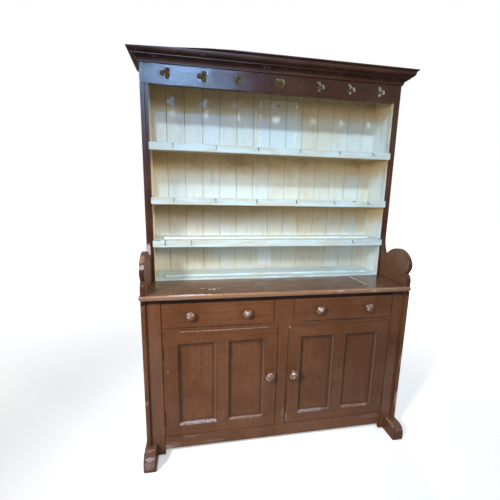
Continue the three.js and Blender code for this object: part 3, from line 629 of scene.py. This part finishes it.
def door_paint():
    """The frames' strokes run up the stiles and along the rails; the mouldings have painted light
    and shade.
    """
    finish = Finish("door_paint")
    low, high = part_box("door_left_panel_left")
    rail = finish.either(
        finish.level(finish.z, low.z + 0.004, low.z + 0.003),
        finish.level(finish.z, high.z - 0.004, high.z - 0.003),
    )
    upright = finish.strokes(GRAIN["z"])
    along = finish.strokes(GRAIN["x"])
    strokes = finish.blend(rail, upright, along)
    colour = brushed_brown(finish, strokes, finish.arris())
    moulded = finish.level(finish.y, door_face + 0.0008, door_face + 0.0015)
    ledge = low.z + 0.012
    # Wear with a painted sheen: pale lilac marks along the bottom moulding.
    ledge_marks = on_face(door_face, BOARD_REACH, [
        (-0.430, ledge, 0.130, 0.014, LILAC_WEAR_AND_SHEEN, 0.95),
        (-0.190, ledge, 0.125, 0.010, PRIMER, 0.60),
        (0.150, ledge, 0.125, 0.010, LILAC_WEAR_AND_SHEEN, 0.60),
        (0.400, ledge, 0.120, 0.009, TAN_WEAR_AND_HIGHLIGHT, 0.70),
        (0.500, ledge + 0.004, 0.012, 0.014, PRIMER, 0.90),
    ])
    frame_marks = on_face(door_face, BOARD_REACH, [
        (-0.300, door_top, 0.270, 0.004, PRIMER, 0.75),
        (0.032, door_top - 0.006, 0.008, 0.008, PRIMER, 0.90),
        (0.034, 0.165, 0.006, 0.036, GREY_WEAR, 0.45),
        # Painted shade: the black mark at x 0.029 is the dark gap beside the right door.
        (0.0290, 0.270, 0.0055, 0.100, SOOT_AND_SHADE, 0.95),
        (-0.580, 0.488, 0.008, 0.012, PRIMER, 0.25),
        (-0.150, 0.310, 0.020, 0.020, BROWN_DARK, 0.50),
    ])
    colour = worn(finish, colour, ledge_marks, within=moulded)
    colour = worn(finish, colour, frame_marks)
    # Painted light and shade: the moulding's creases are black except where the faces look up or
    # left, and those faces are paler; on the upward faces this is dust too.
    creases = finish.either(
        finish.band(finish.y, door_face + 0.0022, door_face + 0.0035, soft=0.0004),
        finish.band(finish.y, door_face + 0.0105, door_face + 0.020, soft=0.0006),
    )
    dusty_and_lit = finish.either(
        finish.level(finish.upward, 0.25, 0.6), finish.level(finish.rightward, -0.25, -0.6)
    )
    colour = finish.lay(colour, SOOT_AND_SHADE, 0.7, creases, finish.minus(1.0, dusty_and_lit))
    colour = finish.lay(colour, BROWN_HAZE_AND_SHEEN, 0.35, moulded, dusty_and_lit)
    finish.brushed(strokes)
    return finish.done(colour, finish.noise(40), spread=0.16, least=0.26)


def panel_paint():
    """Brown panels, with painted shade along the moulding."""
    finish = Finish("panel_paint")
    strokes = finish.strokes(GRAIN["z"])
    colour = brushed_brown(finish, strokes, finish.arris())
    uneven = finish.both(finish.noise(35, 4), 0.010)
    inset = PANEL_COVER + PANEL_SHADE

    def unshaded_between(value, low, high):
        place = finish.plus(value, uneven)
        return finish.band(place, low + inset, high - inset + 0.004, soft=0.010)

    low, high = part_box(PANELS[0])
    across = []
    for panel in PANELS:
        left, right = (corner.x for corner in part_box(panel))
        across.append(unshaded_between(finish.x, left, right))
    unshaded = finish.both(unshaded_between(finish.z, low.z, high.z), finish.either(*across))
    # Painted shade: a dark border round each panel, along the moulding.
    colour = finish.lay(colour, SOOT_AND_SHADE, 0.4, finish.minus(1.0, unshaded))
    finish.brushed(strokes)
    return finish.done(colour, finish.noise(40), spread=0.16, least=0.28)


# Cream paint of the rack
SHADE_REACH = 0.10
SHELF_SHADE = 0.15
SHADE_IS_FULL = 0.03
BOARD_PITCH = 0.0988
BOARD_OFFSET = 0.005
PAPER_LEFT, PAPER_RIGHT = -0.060, 0.170
PAPER_LOW, PAPER_HIGH = 1.630, 1.889
FOLD_LOW, FOLD_HIGH, FOLD_RIGHT = 1.838, 1.8405, 0.12
PATCH_LEFT, PATCH_RIGHT = -0.048, 0.036
PATCH_LOW, PATCH_HIGH = 0.915, 1.030
DAMP_HEIGHT = 0.075
BAY_SHADE_LOW = 1.15


def painted_rack_shade(finish, colour):
    """Painted shade: yellowed cream laid on below the frieze and the upper and middle shelves."""
    height = finish.plus(finish.z, finish.ragged(SHADE_REACH, 9, 4, 0.6))
    shades = [finish.level(height, frieze_low.z - SHADE_REACH, frieze_low.z)]
    for shelf in ("upper", "middle"):
        top = underside[shelf]
        shades.append(finish.both(
            finish.level(height, top - SHELF_SHADE, top - SHADE_IS_FULL),
            finish.level(finish.z, top + 0.012, top + 0.002),
        ))
    return finish.lay(colour, CREAM_OLD_AND_SHADED, 0.95, finish.either(*shades))


def aged_cream(finish, strokes):
    """Thin cream paint with cooler brushed patches, yellowed ones, dirt and painted shade."""
    cool = finish.patches((0.42, 0.60), (6, 6, 2.2), 4, 0.6)
    colour = painted_rack_shade(finish, finish.blend(cool, CREAM, CREAM_COOL))
    old = finish.patches((0.55, 0.72), (9, 9, 3), 5, 0.65, shift=(4, 4, 4))
    colour = finish.lay(colour, CREAM_OLD_AND_SHADED, 0.28, old)
    streaks = finish.patches((0.48, 0.66), (40, 40, 5), 5, 0.7, shift=(8, 8, 1))
    colour = finish.lay(colour, CREAM_OLD_AND_SHADED, 0.22, streaks)
    grey = finish.patches((0.50, 0.70), (22, 22, 7), 5, 0.7, shift=(2, 9, 4))
    colour = finish.lay(colour, CREAM_DIRT_AND_SHADE, 0.18, grey)
    return finish.lay(colour, CREAM_OLD_AND_SHADED, 0.25, finish.level(strokes, 0.55, 0.75))


def paper_patch(finish, colour):
    """A paler pasted sheet in the top bay, with torn white edges and a fold."""
    tear = finish.ragged(0.016, 70, 4, 0.7)
    x = finish.plus(finish.x, tear)
    z = finish.plus(finish.z, tear)
    sheet = finish.both(
        finish.band(x, PAPER_LEFT, PAPER_RIGHT, soft=0.002),
        finish.band(z, PAPER_LOW, PAPER_HIGH, soft=0.002),
    )
    inner = finish.both(
        finish.band(x, PAPER_LEFT + 0.010, PAPER_RIGHT - 0.014, soft=0.003),
        finish.band(z, PAPER_LOW - 0.02, PAPER_HIGH - 0.008, soft=0.003),
    )
    border = finish.minus(sheet, inner)
    torn = finish.patches((0.50, 0.58), 55, 4, 0.7, shift=(1, 5, 2))
    stronger_below = finish.plus(finish.both(finish.level(finish.z, 1.80, 1.74), 0.45), 0.2)
    colour = finish.lay(colour, PAPER_BLUE, stronger_below, sheet)
    colour = finish.lay(colour, PAPER_WHITE_AND_HIGHLIGHT, 0.9, border, torn)
    return finish.lay(
        colour, CREAM_DIRT_AND_SHADE, 0.5,
        finish.band(finish.z, FOLD_LOW, FOLD_HIGH, soft=0.0008),
        finish.band(finish.x, PAPER_LEFT, FOLD_RIGHT, soft=0.004),
    )


def board_tones(finish, colour):
    """Each matched board has its own tone, and dirt lies in the seams."""
    place = finish.maths("DIVIDE", finish.minus(finish.x, BOARD_OFFSET), BOARD_PITCH)
    board = {"W": finish.maths("FLOOR", place)}
    tone = finish.add("ShaderNodeTexWhiteNoise", board, noise_dimensions="1D").outputs["Value"]
    colour = finish.lay(colour, CREAM_OLD_AND_SHADED, 0.22, tone)
    colour = paper_patch(finish, colour)
    past_middle = finish.maths("FRACT", finish.plus(place, 0.5))
    from_seam = finish.maths("ABSOLUTE", finish.minus(past_middle, 0.5))
    seam = finish.level(from_seam, 0.026, 0.012)
    return finish.lay(colour, CREAM_DIRT_AND_SHADE, 0.4, seam, finish.patches((0.25, 0.55), (5, 5, 12)))


def cream_boards():
    """The back: aged cream boards with their stains and painted shade, and bare pine behind."""
    finish = Finish("cream_boards")
    strokes = finish.strokes(CREAM_GRAIN, 0.65)
    colour = board_tones(finish, aged_cream(finish, strokes))
    stains = on_face(back_face, BACK_REACH, [
        (0.556, 1.419, 0.035, 0.090, PAPER_BLUE, 0.60),
        (0.579, 1.162, 0.035, 0.060, PAPER_BLUE, 0.50),
        (0.052, 1.862, 0.014, 0.012, STAIN, 0.55),
    ])
    colour = worn(finish, colour, stains)
    colour = finish.lay(
        colour, PATCH_BLUE, 0.75,
        finish.band(finish.x, PATCH_LEFT, PATCH_RIGHT, soft=0.007),
        finish.band(finish.z, PATCH_LOW, PATCH_HIGH, soft=0.012),
        finish.patches((0.10, 0.50), 30, shift=(1, 2, 3)),
    )
    colour = finish.lay(
        colour, STAIN, 0.35,
        finish.band(finish.z, underside["upper"] - DAMP_HEIGHT, underside["upper"], soft=0.025),
        finish.patches((0.46, 0.66), (8, 8, 12), 4, 0.6, shift=(3, 3, 7)),
    )
    # Painted shade over the bay under the middle shelf, stronger on the left.
    more_shade_left = finish.plus(finish.both(finish.level(finish.x, 0.15, -0.30), 0.20), 0.16)
    bay_shade = finish.band(finish.z, BAY_SHADE_LOW, underside["middle"], soft=0.03)
    colour = finish.lay(colour, CREAM_DIRT_AND_SHADE, more_shade_left, bay_shade)
    behind = finish.level(finish.backward, 0.3, 0.6)
    colour = finish.blend(behind, colour, pine_colour(finish, "z")[0])
    finish.brushed(strokes, waves=7, wave_depth=0.001, stroke_depth=0.00025)
    return finish.done(colour, strokes, spread=0.2, least=0.42)


def cream_shelf():
    """The shelves, with painted shade: yellower and darker below."""
    finish = Finish("cream_shelf")
    strokes = finish.strokes(GRAIN["x"], 0.65)
    colour = aged_cream(finish, strokes)
    # Painted shade: faces that look down are laid on yellower and darker.
    colour = finish.lay(colour, CREAM_OLD_AND_SHADED, 0.6, finish.level(finish.upward, -0.2, -0.7))
    colour = finish.lay(colour, CREAM_DIRT_AND_SHADE, 0.4, finish.patches((0.62, 0.72), 35, 5, 0.7))
    finish.brushed(strokes, waves=10, wave_depth=0.0008, stroke_depth=0.00025)
    return finish.done(colour, strokes, spread=0.2, least=0.36)


def shelf_edge_white():
    """Whiter paint on the moulded edges, rubbed at the corners, with a few cracks."""
    finish = Finish("shelf_edge_white")
    strokes = finish.strokes(GRAIN["x"], 0.65)
    colour = finish.blend(finish.patches((0.4, 0.6), (7, 20, 40), 4), EDGE_WHITE, EDGE_WARM)
    colour = finish.lay(colour, CREAM_OLD_AND_SHADED, 0.15, finish.level(strokes, 0.5, 0.7))
    rubbed = finish.patches((0.52, 0.6), 26, 5, 0.7)
    colour = finish.lay(colour, CREAM_DIRT_AND_SHADE, 0.7, finish.arris(), rubbed)
    specks = finish.patches((0.76, 0.79), 75, 2, shift=(2, 2, 2))
    colour = finish.lay(colour, BROWN_DARK, 0.8, specks)
    cracks = on_face(shelf_edge_front, EDGE_REACH, [
        (-0.630, 1.103, 0.016, 0.0035, SOOT_AND_SHADE, 0.8),
        (-0.590, 1.103, 0.012, 0.0030, SOOT_AND_SHADE, 0.7),
        (0.645, 1.103, 0.012, 0.0040, SOOT_AND_SHADE, 0.8),
        (0.460, 1.322, 0.010, 0.0060, BROWN, 0.8),
    ])
    colour = worn(finish, colour, cracks)
    finish.brushed(strokes, waves=12, wave_depth=0.0008)
    return finish.done(colour, strokes, spread=0.2, least=0.24)


# Brown and cream pieces of the rack
RACK_SIDE_SHINE, STRIP_SHINE, FRIEZE_SHINE = 0.18, 0.16, 0.17
FRIEZE_MARGIN = 0.012


def rack_side_paint():
    """Brown outside and on the ears, cream inside behind the front strips, with painted light and
    glare.
    """
    finish = Finish("rack_side_paint")
    strokes = finish.strokes(GRAIN["z"])
    arris = finish.band(finish.flat_x, 0.5, 0.9, soft=0.05)
    # Painted light: faces that look sideways take the lighter ear tones, the edges the darker rack
    # tones.
    brown = finish.blend(
        finish.level(finish.flat_x, 0.75, 0.95),
        brushed_brown(finish, strokes, arris, RACK_TONES, shine=RACK_SIDE_SHINE),
        brushed_brown(finish, strokes, arris, EAR_TONES, shine=RACK_SIDE_SHINE),
    )
    # The two lilac marks on the left ear are painted glare; the large grey mark greys the ear's
    # inner face.
    marks = [
        ((-0.68, 0.045, 1.045), (0.020, 0.020, 0.045), LILAC_WEAR_AND_SHEEN, 0.85),
        ((-0.68, -0.170, 1.055), (0.020, 0.030, 0.030), TAN_WEAR_AND_HIGHLIGHT, 0.70),
        ((-0.68, -0.195, 1.015), (0.020, 0.018, 0.012), LILAC_WEAR_AND_SHEEN, 0.80),
        ((-0.68, -0.190, 0.943), (0.020, 0.020, 0.014), SOOT_AND_SHADE, 0.70),
        ((-0.66, -0.090, 1.020), (0.010, 0.130, 0.120), GREY_WEAR, 0.85),
        ((0.66, -0.030, 1.045), (0.020, 0.090, 0.003), BROWN_HAZE_AND_SHEEN, 0.70),
    ]
    brown = worn(finish, brown, marks)
    cream = aged_cream(finish, finish.strokes(CREAM_GRAIN, 0.65))
    # Painted light: the left inner wall is laid on lighter, as where light falls on it.
    left_wall = finish.level(finish.x, 0.1, -0.1)
    cream = finish.lay(cream, CREAM_PAINTED_LIGHT, 0.7, left_wall)
    inside = finish.both(
        finish.level(finish.outward(), -0.4, -0.6),
        finish.level(finish.y, strip_back - 0.006, strip_back - 0.004),
    )
    finish.brushed(strokes)
    return finish.done(finish.blend(inside, brown, cream), strokes, spread=0.2, least=0.26)


def strip_paint():
    """Brown in front, cream on the edge that faces the shelves."""
    finish = Finish("strip_paint")
    strokes = finish.strokes(GRAIN["z"])
    brown = brushed_brown(finish, strokes, finish.arris(), RACK_TONES, shine=STRIP_SHINE)
    cream = aged_cream(finish, strokes)
    inside = finish.either(
        finish.level(finish.outward(), -0.6, -0.75), finish.level(finish.backward, 0.6, 0.75)
    )
    finish.brushed(strokes, wave_depth=0.001)
    return finish.done(finish.blend(inside, brown, cream), strokes, spread=0.2, least=0.22)


def frieze_paint():
    """Glossy brown in front and below, cream behind and in the piercings, with painted shade on
    edges.
    """
    finish = Finish("frieze_paint")
    strokes = finish.strokes(GRAIN["x"])
    brown = brushed_brown(finish, strokes, finish.arris(), RACK_TONES, shine=FRIEZE_SHINE)
    edgewise = finish.level(finish.flat_y, 0.6, 0.4)
    front = frieze_low.y
    lip = finish.level(finish.y, front + 0.004, front + 0.002)
    # Painted shade: edges next to the front face are darkened.
    brown = finish.lay(brown, SOOT_AND_SHADE, 0.6, edgewise, lip)
    old = finish.patches((0.4, 0.6), 60, 4)
    cream = finish.blend(finish.both(old, 0.5), CREAM, CREAM_OLD_AND_SHADED)
    # Painted shade: the cream in the piercings on the left is darker.
    cream = finish.lay(cream, CREAM_DIRT_AND_SHADE, 0.5, finish.level(finish.x, -0.1, -0.3))
    pierced = finish.both(
        finish.band(
            finish.z, frieze_low.z + FRIEZE_MARGIN, frieze_high.z - FRIEZE_MARGIN, soft=0.002
        ),
        finish.band(
            finish.x, frieze_low.x + FRIEZE_MARGIN, frieze_high.x - FRIEZE_MARGIN, soft=0.002
        ),
        edgewise,
        finish.level(finish.y, front + 0.0035, front + 0.005),
    )
    behind = finish.level(finish.backward, 0.5, 0.7)
    colour = finish.blend(finish.either(pierced, behind), brown, cream)
    waves = finish.noise(8, 2)
    ripples = finish.noise((60, 90, 130), 4, 0.7)
    finish.bump((waves, 0.0012), (ripples, 0.0012), (strokes, 0.0003))
    return finish.done(colour, strokes, spread=0.18, least=0.09)


# Knobs, bare wood and metal
KNOB_SHINE = 0.7
RING_SHARE = 0.16


def knob_gloss():
    """Shiny brown with rubbed patches, painted glints above and on the left, painted shade below
    and at the neck.
    """
    finish = Finish("knob_gloss")
    finish.shine(KNOB_SHINE)
    colour = finish.blend(finish.patches((0.4, 0.65), 60, 4), BROWN, BROWN_LIGHT)
    rubbed = finish.patches((0.55, 0.66), 90, 5, 0.7, shift=(3, 3, 3))
    colour = finish.lay(colour, BROWN_HAZE_AND_SHEEN, 0.5, rubbed)
    # Painted glints: pale flecks only on front faces that look up and to the left.
    colour = finish.lay(
        colour, LILAC_WEAR_AND_SHEEN, 0.6,
        finish.patches((0.53, 0.58), 85, 3, 0.6, shift=(5, 5, 5)),
        finish.level(finish.minus(finish.upward, finish.rightward), -0.35, 0.15),
        finish.level(finish.backward, -0.05, -0.35),
    )
    # Painted shade at the neck, on the sides and on the lower right.
    colour = finish.lay(colour, SOOT_AND_SHADE, 0.85, finish.level(finish.backward, -0.45, 0.05))
    below = finish.level(finish.minus(finish.rightward, finish.upward), 0.45, 0.95)
    colour = finish.lay(colour, SOOT_AND_SHADE, 0.6, below)
    finish.bump((finish.noise(120), 0.00004))
    return finish.done(colour, finish.noise(80), spread=0.10, least=0.12)


def pine_colour(finish, grain):
    """Bare boards gone brown with age, with figure, fine grain and a few knots."""
    fine = finish.noise(GRAIN[grain], 6, 0.7)
    rings = tuple(repeat * RING_SHARE for repeat in GRAIN[grain])
    figure = finish.noise(rings, 3, 0.5, distortion=1.2, shift=(1, 1, 1))
    colour = finish.blend(finish.level(figure, 0.35, 0.65), PINE, PINE_DARK)
    colour = finish.lay(colour, PINE_DARK, 0.5, finish.level(fine, 0.4, 0.7))
    knots = finish.patches((0.76, 0.80), 9, 1, shift=(5, 2, 9))
    return finish.lay(colour, SOOT_AND_SHADE, 0.7, knots), fine


def bare_pine(name, grain):
    finish = Finish(name)
    colour, fine = pine_colour(finish, grain)
    finish.bump((fine, 0.0004))
    return finish.done(colour, fine, spread=0.2, least=0.6)


def painted_iron():
    """Hinges painted over with the doors, with rust coming through."""
    finish = Finish("painted_iron")
    finish.metal(0.4)
    rust = finish.patches((0.48, 0.6), 120, 4)
    finish.bump((finish.noise(300), 0.0003))
    return finish.done(finish.blend(rust, BROWN_DARK, RUST), rust, spread=0.3, least=0.4)


def hook_steel():
    finish = Finish("hook_steel")
    finish.metal(0.8)
    tarnish = finish.patches((0.4, 0.65), 400)
    return finish.done(finish.blend(tarnish, HOOK_METAL, IRON), tarnish, spread=0.3, least=0.35)


# Each finish and the solids that have it
HINGE_LEAVES = [
    f"door_{door}_hinge_{level}_{leaf}_leaf"
    for door in BOTH for level in LEVELS for leaf in ("frame", "door")
]
FINISHES = {
    upright_brown(): ["stile_left", "stile_right", "drawer_divider", "centre_stile"],
    panel_paint(): PANELS,
    side_brown(): ["side_left", "side_right"],
    rail_brown(): ["top_rail", "drawer_rail", "bottom_rail"],
    brown_paint("drawer_brown", "x", gaps=True): ["drawer_left_front", "drawer_right_front"],
    foot_brown(): ["foot_left", "foot_right"],
    cornice_brown("cornice_brown", "x", CORNICE_SHINE): ["cornice_front"],
    cornice_brown("cornice_end_brown", "y", CORNICE_END_SHINE): ["cornice_left", "cornice_right"],
    door_paint(): ["door_left_frame", "door_right_frame"],
    worktop_paint(): ["worktop"],
    rack_side_paint(): ["rack_side_left", "rack_side_right"],
    strip_paint(): ["inner_strip_left", "inner_strip_right"],
    frieze_paint(): ["frieze"],
    cream_boards(): ["rack_back"],
    cream_shelf(): [f"shelf_{shelf}" for shelf in SHELVES],
    shelf_edge_white(): [f"shelf_edge_{shelf}" for shelf in SHELVES] + ["rack_base_board"],
    bare_pine("pine_along", "x"): ["cupboard_floor", "cupboard_shelf", "rack_top"],
    bare_pine("pine_upright", "z"): ["base_back"],
    bare_pine("pine_deep", "y"): [
        "runner_left", "runner_centre", "runner_right", "drawer_left_box", "drawer_right_box",
    ],
    painted_iron(): HINGE_LEAVES,
}
for material, names in FINISHES.items():
    for name in names:
        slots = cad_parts[name].data.materials
        slots.clear()
        slots.append(material)

# Modelled pieces
SMOOTH_ANGLE = math.radians(35)
WELD_DISTANCE = 0.00001
FACING_FRONT = (math.pi / 2, 0, 0)


def start_round(sides, radius, place=(0, 0, 0)):
    """A round face that looks to the front, ready to be drawn out in edit mode."""
    bpy.ops.mesh.primitive_circle_add(
        vertices=sides, radius=radius, fill_type="NGON", location=place, rotation=FACING_FRONT
    )
    piece = bpy.context.object
    bpy.ops.object.transform_apply(location=True, rotation=True, scale=True)
    bpy.ops.object.mode_set(mode="EDIT")
    bpy.ops.mesh.select_all(action="SELECT")
    return piece


def draw_out(step):
    bpy.ops.mesh.extrude_region_move(TRANSFORM_OT_translate={"value": step})


def close_up():
    """Welds what meets, turns all faces outwards and leaves edit mode."""
    bpy.ops.mesh.select_all(action="SELECT")
    bpy.ops.mesh.remove_doubles(threshold=WELD_DISTANCE)
    bpy.ops.mesh.normals_make_consistent(inside=False)
    bpy.ops.object.mode_set(mode="OBJECT")


def finish_piece(piece, name, material, body):
    """Names a modelled piece, puts its origin at zero and sets it on its body."""
    piece.name = name
    bpy.ops.object.select_all(action="DESELECT")
    piece.select_set(True)
    bpy.context.view_layer.objects.active = piece
    bpy.ops.object.transform_apply(location=True, rotation=True, scale=True)
    bpy.ops.object.shade_smooth_by_angle(angle=SMOOTH_ANGLE)
    piece.data.materials.clear()
    piece.data.materials.append(material)
    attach(piece, body)
    piece.select_set(False)


# Turned knobs: shares of the head's radius and of the height, from the wood to the crown
KNOB_PROFILE = [
    (0.61, 0.00), (0.62, 0.05), (0.58, 0.10), (0.50, 0.14), (0.45, 0.20), (0.43, 0.28),
    (0.46, 0.36), (0.56, 0.42), (0.74, 0.455), (0.90, 0.49), (0.975, 0.53), (1.00, 0.58),
    (0.985, 0.63), (0.93, 0.68), (0.85, 0.72), (0.76, 0.745), (0.71, 0.75), (0.69, 0.765),
    (0.68, 0.796), (0.64, 0.826), (0.587, 0.855), (0.535, 0.883), (0.484, 0.906), (0.43, 0.928),
    (0.371, 0.947), (0.31, 0.964), (0.252, 0.976), (0.19, 0.986), (0.127, 0.994), (0.05, 0.999),
]
KNOB_SIDES = 48
gloss = knob_gloss()


def turned_knob(node, body):
    low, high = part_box(node)
    radius = (high.x - low.x) / 2
    height = high.y - low.y
    centre = Vector(((low.x + high.x) / 2, high.y, (low.z + high.z) / 2))
    knob = start_round(KNOB_SIDES, KNOB_PROFILE[0][0] * radius, centre)
    for (share, rise), (next_share, next_rise) in zip(KNOB_PROFILE, KNOB_PROFILE[1:]):
        draw_out(Vector((0, -(next_rise - rise) * height, 0)))
        ratio = next_share / share
        ring = centre + Vector((0, -next_rise * height, 0))
        bpy.ops.transform.resize(value=(ratio, ratio, ratio), center_override=ring)
    close_up()
    finish_piece(knob, f"{node}_turned", gloss, body)
    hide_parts(node)


for side in BOTH:
    turned_knob(f"door_{side}_knob", f"door_{side}")
    for end in BOTH:
        turned_knob(f"drawer_{side}_knob_{end}", f"drawer_{side}")

# Cup hooks on the shelf edges, with the places of each shelf's hooks along x
HOOK_WIRE = 0.0012
HOOK_COLLAR = 0.0034
HOOK_COLLAR_DEPTH = 0.0012
HOOK_SHANK = 0.0045
HOOK_BEND = 0.003
HOOK_DROP = 0.015
HOOK_BOWL = 0.0055
HOOK_TIP = 0.005
HOOK_INSET = 0.006
HOOK_SIDES = 8
BEND_STEPS, BOWL_STEPS = 4, 8
HOOKS = {
    "upper": (-0.542, -0.328, -0.108, 0.121, 0.348, 0.548),
    "middle": (-0.544, -0.330, -0.109, 0.113, 0.336, 0.544),
    "lower": (-0.595, -0.459, 0.468),
}


def bend(steps, angle, y, z):
    """Draws the wire's end round an axis that lies across the dresser."""
    bpy.ops.mesh.spin(steps=steps, angle=angle, center=(0, y, z), axis=(1, 0, 0))


def model_hook():
    """A cup hook: collar and shank forwards, a bend down, and a bowl that turns up in front."""
    hook = start_round(HOOK_SIDES, HOOK_COLLAR)
    draw_out((0, -HOOK_COLLAR_DEPTH, 0))
    bpy.ops.mesh.inset(thickness=HOOK_COLLAR - HOOK_WIRE)
    draw_out((0, -HOOK_SHANK, 0))
    reach = HOOK_COLLAR_DEPTH + HOOK_SHANK
    bend(BEND_STEPS, math.pi / 2, -reach, -HOOK_BEND)
    draw_out((0, 0, -HOOK_DROP))
    bend(BOWL_STEPS, -math.pi, -reach - HOOK_BEND - HOOK_BOWL, -HOOK_BEND - HOOK_DROP)
    draw_out((0, 0, HOOK_TIP))
    close_up()
    return hook


steel = hook_steel()
pattern = model_hook()
for shelf, places in HOOKS.items():
    low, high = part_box(f"shelf_edge_{shelf}")
    for number, x in enumerate(places, 1):
        hook = pattern.copy()
        hook.data = pattern.data.copy()
        bpy.context.scene.collection.objects.link(hook)
        hook.data.transform(Matrix.Translation((x, low.y, high.z - HOOK_INSET)))
        finish_piece(hook, f"cup_hook_{shelf}_{number}", steel, "carcass")
bpy.data.objects.remove(pattern)
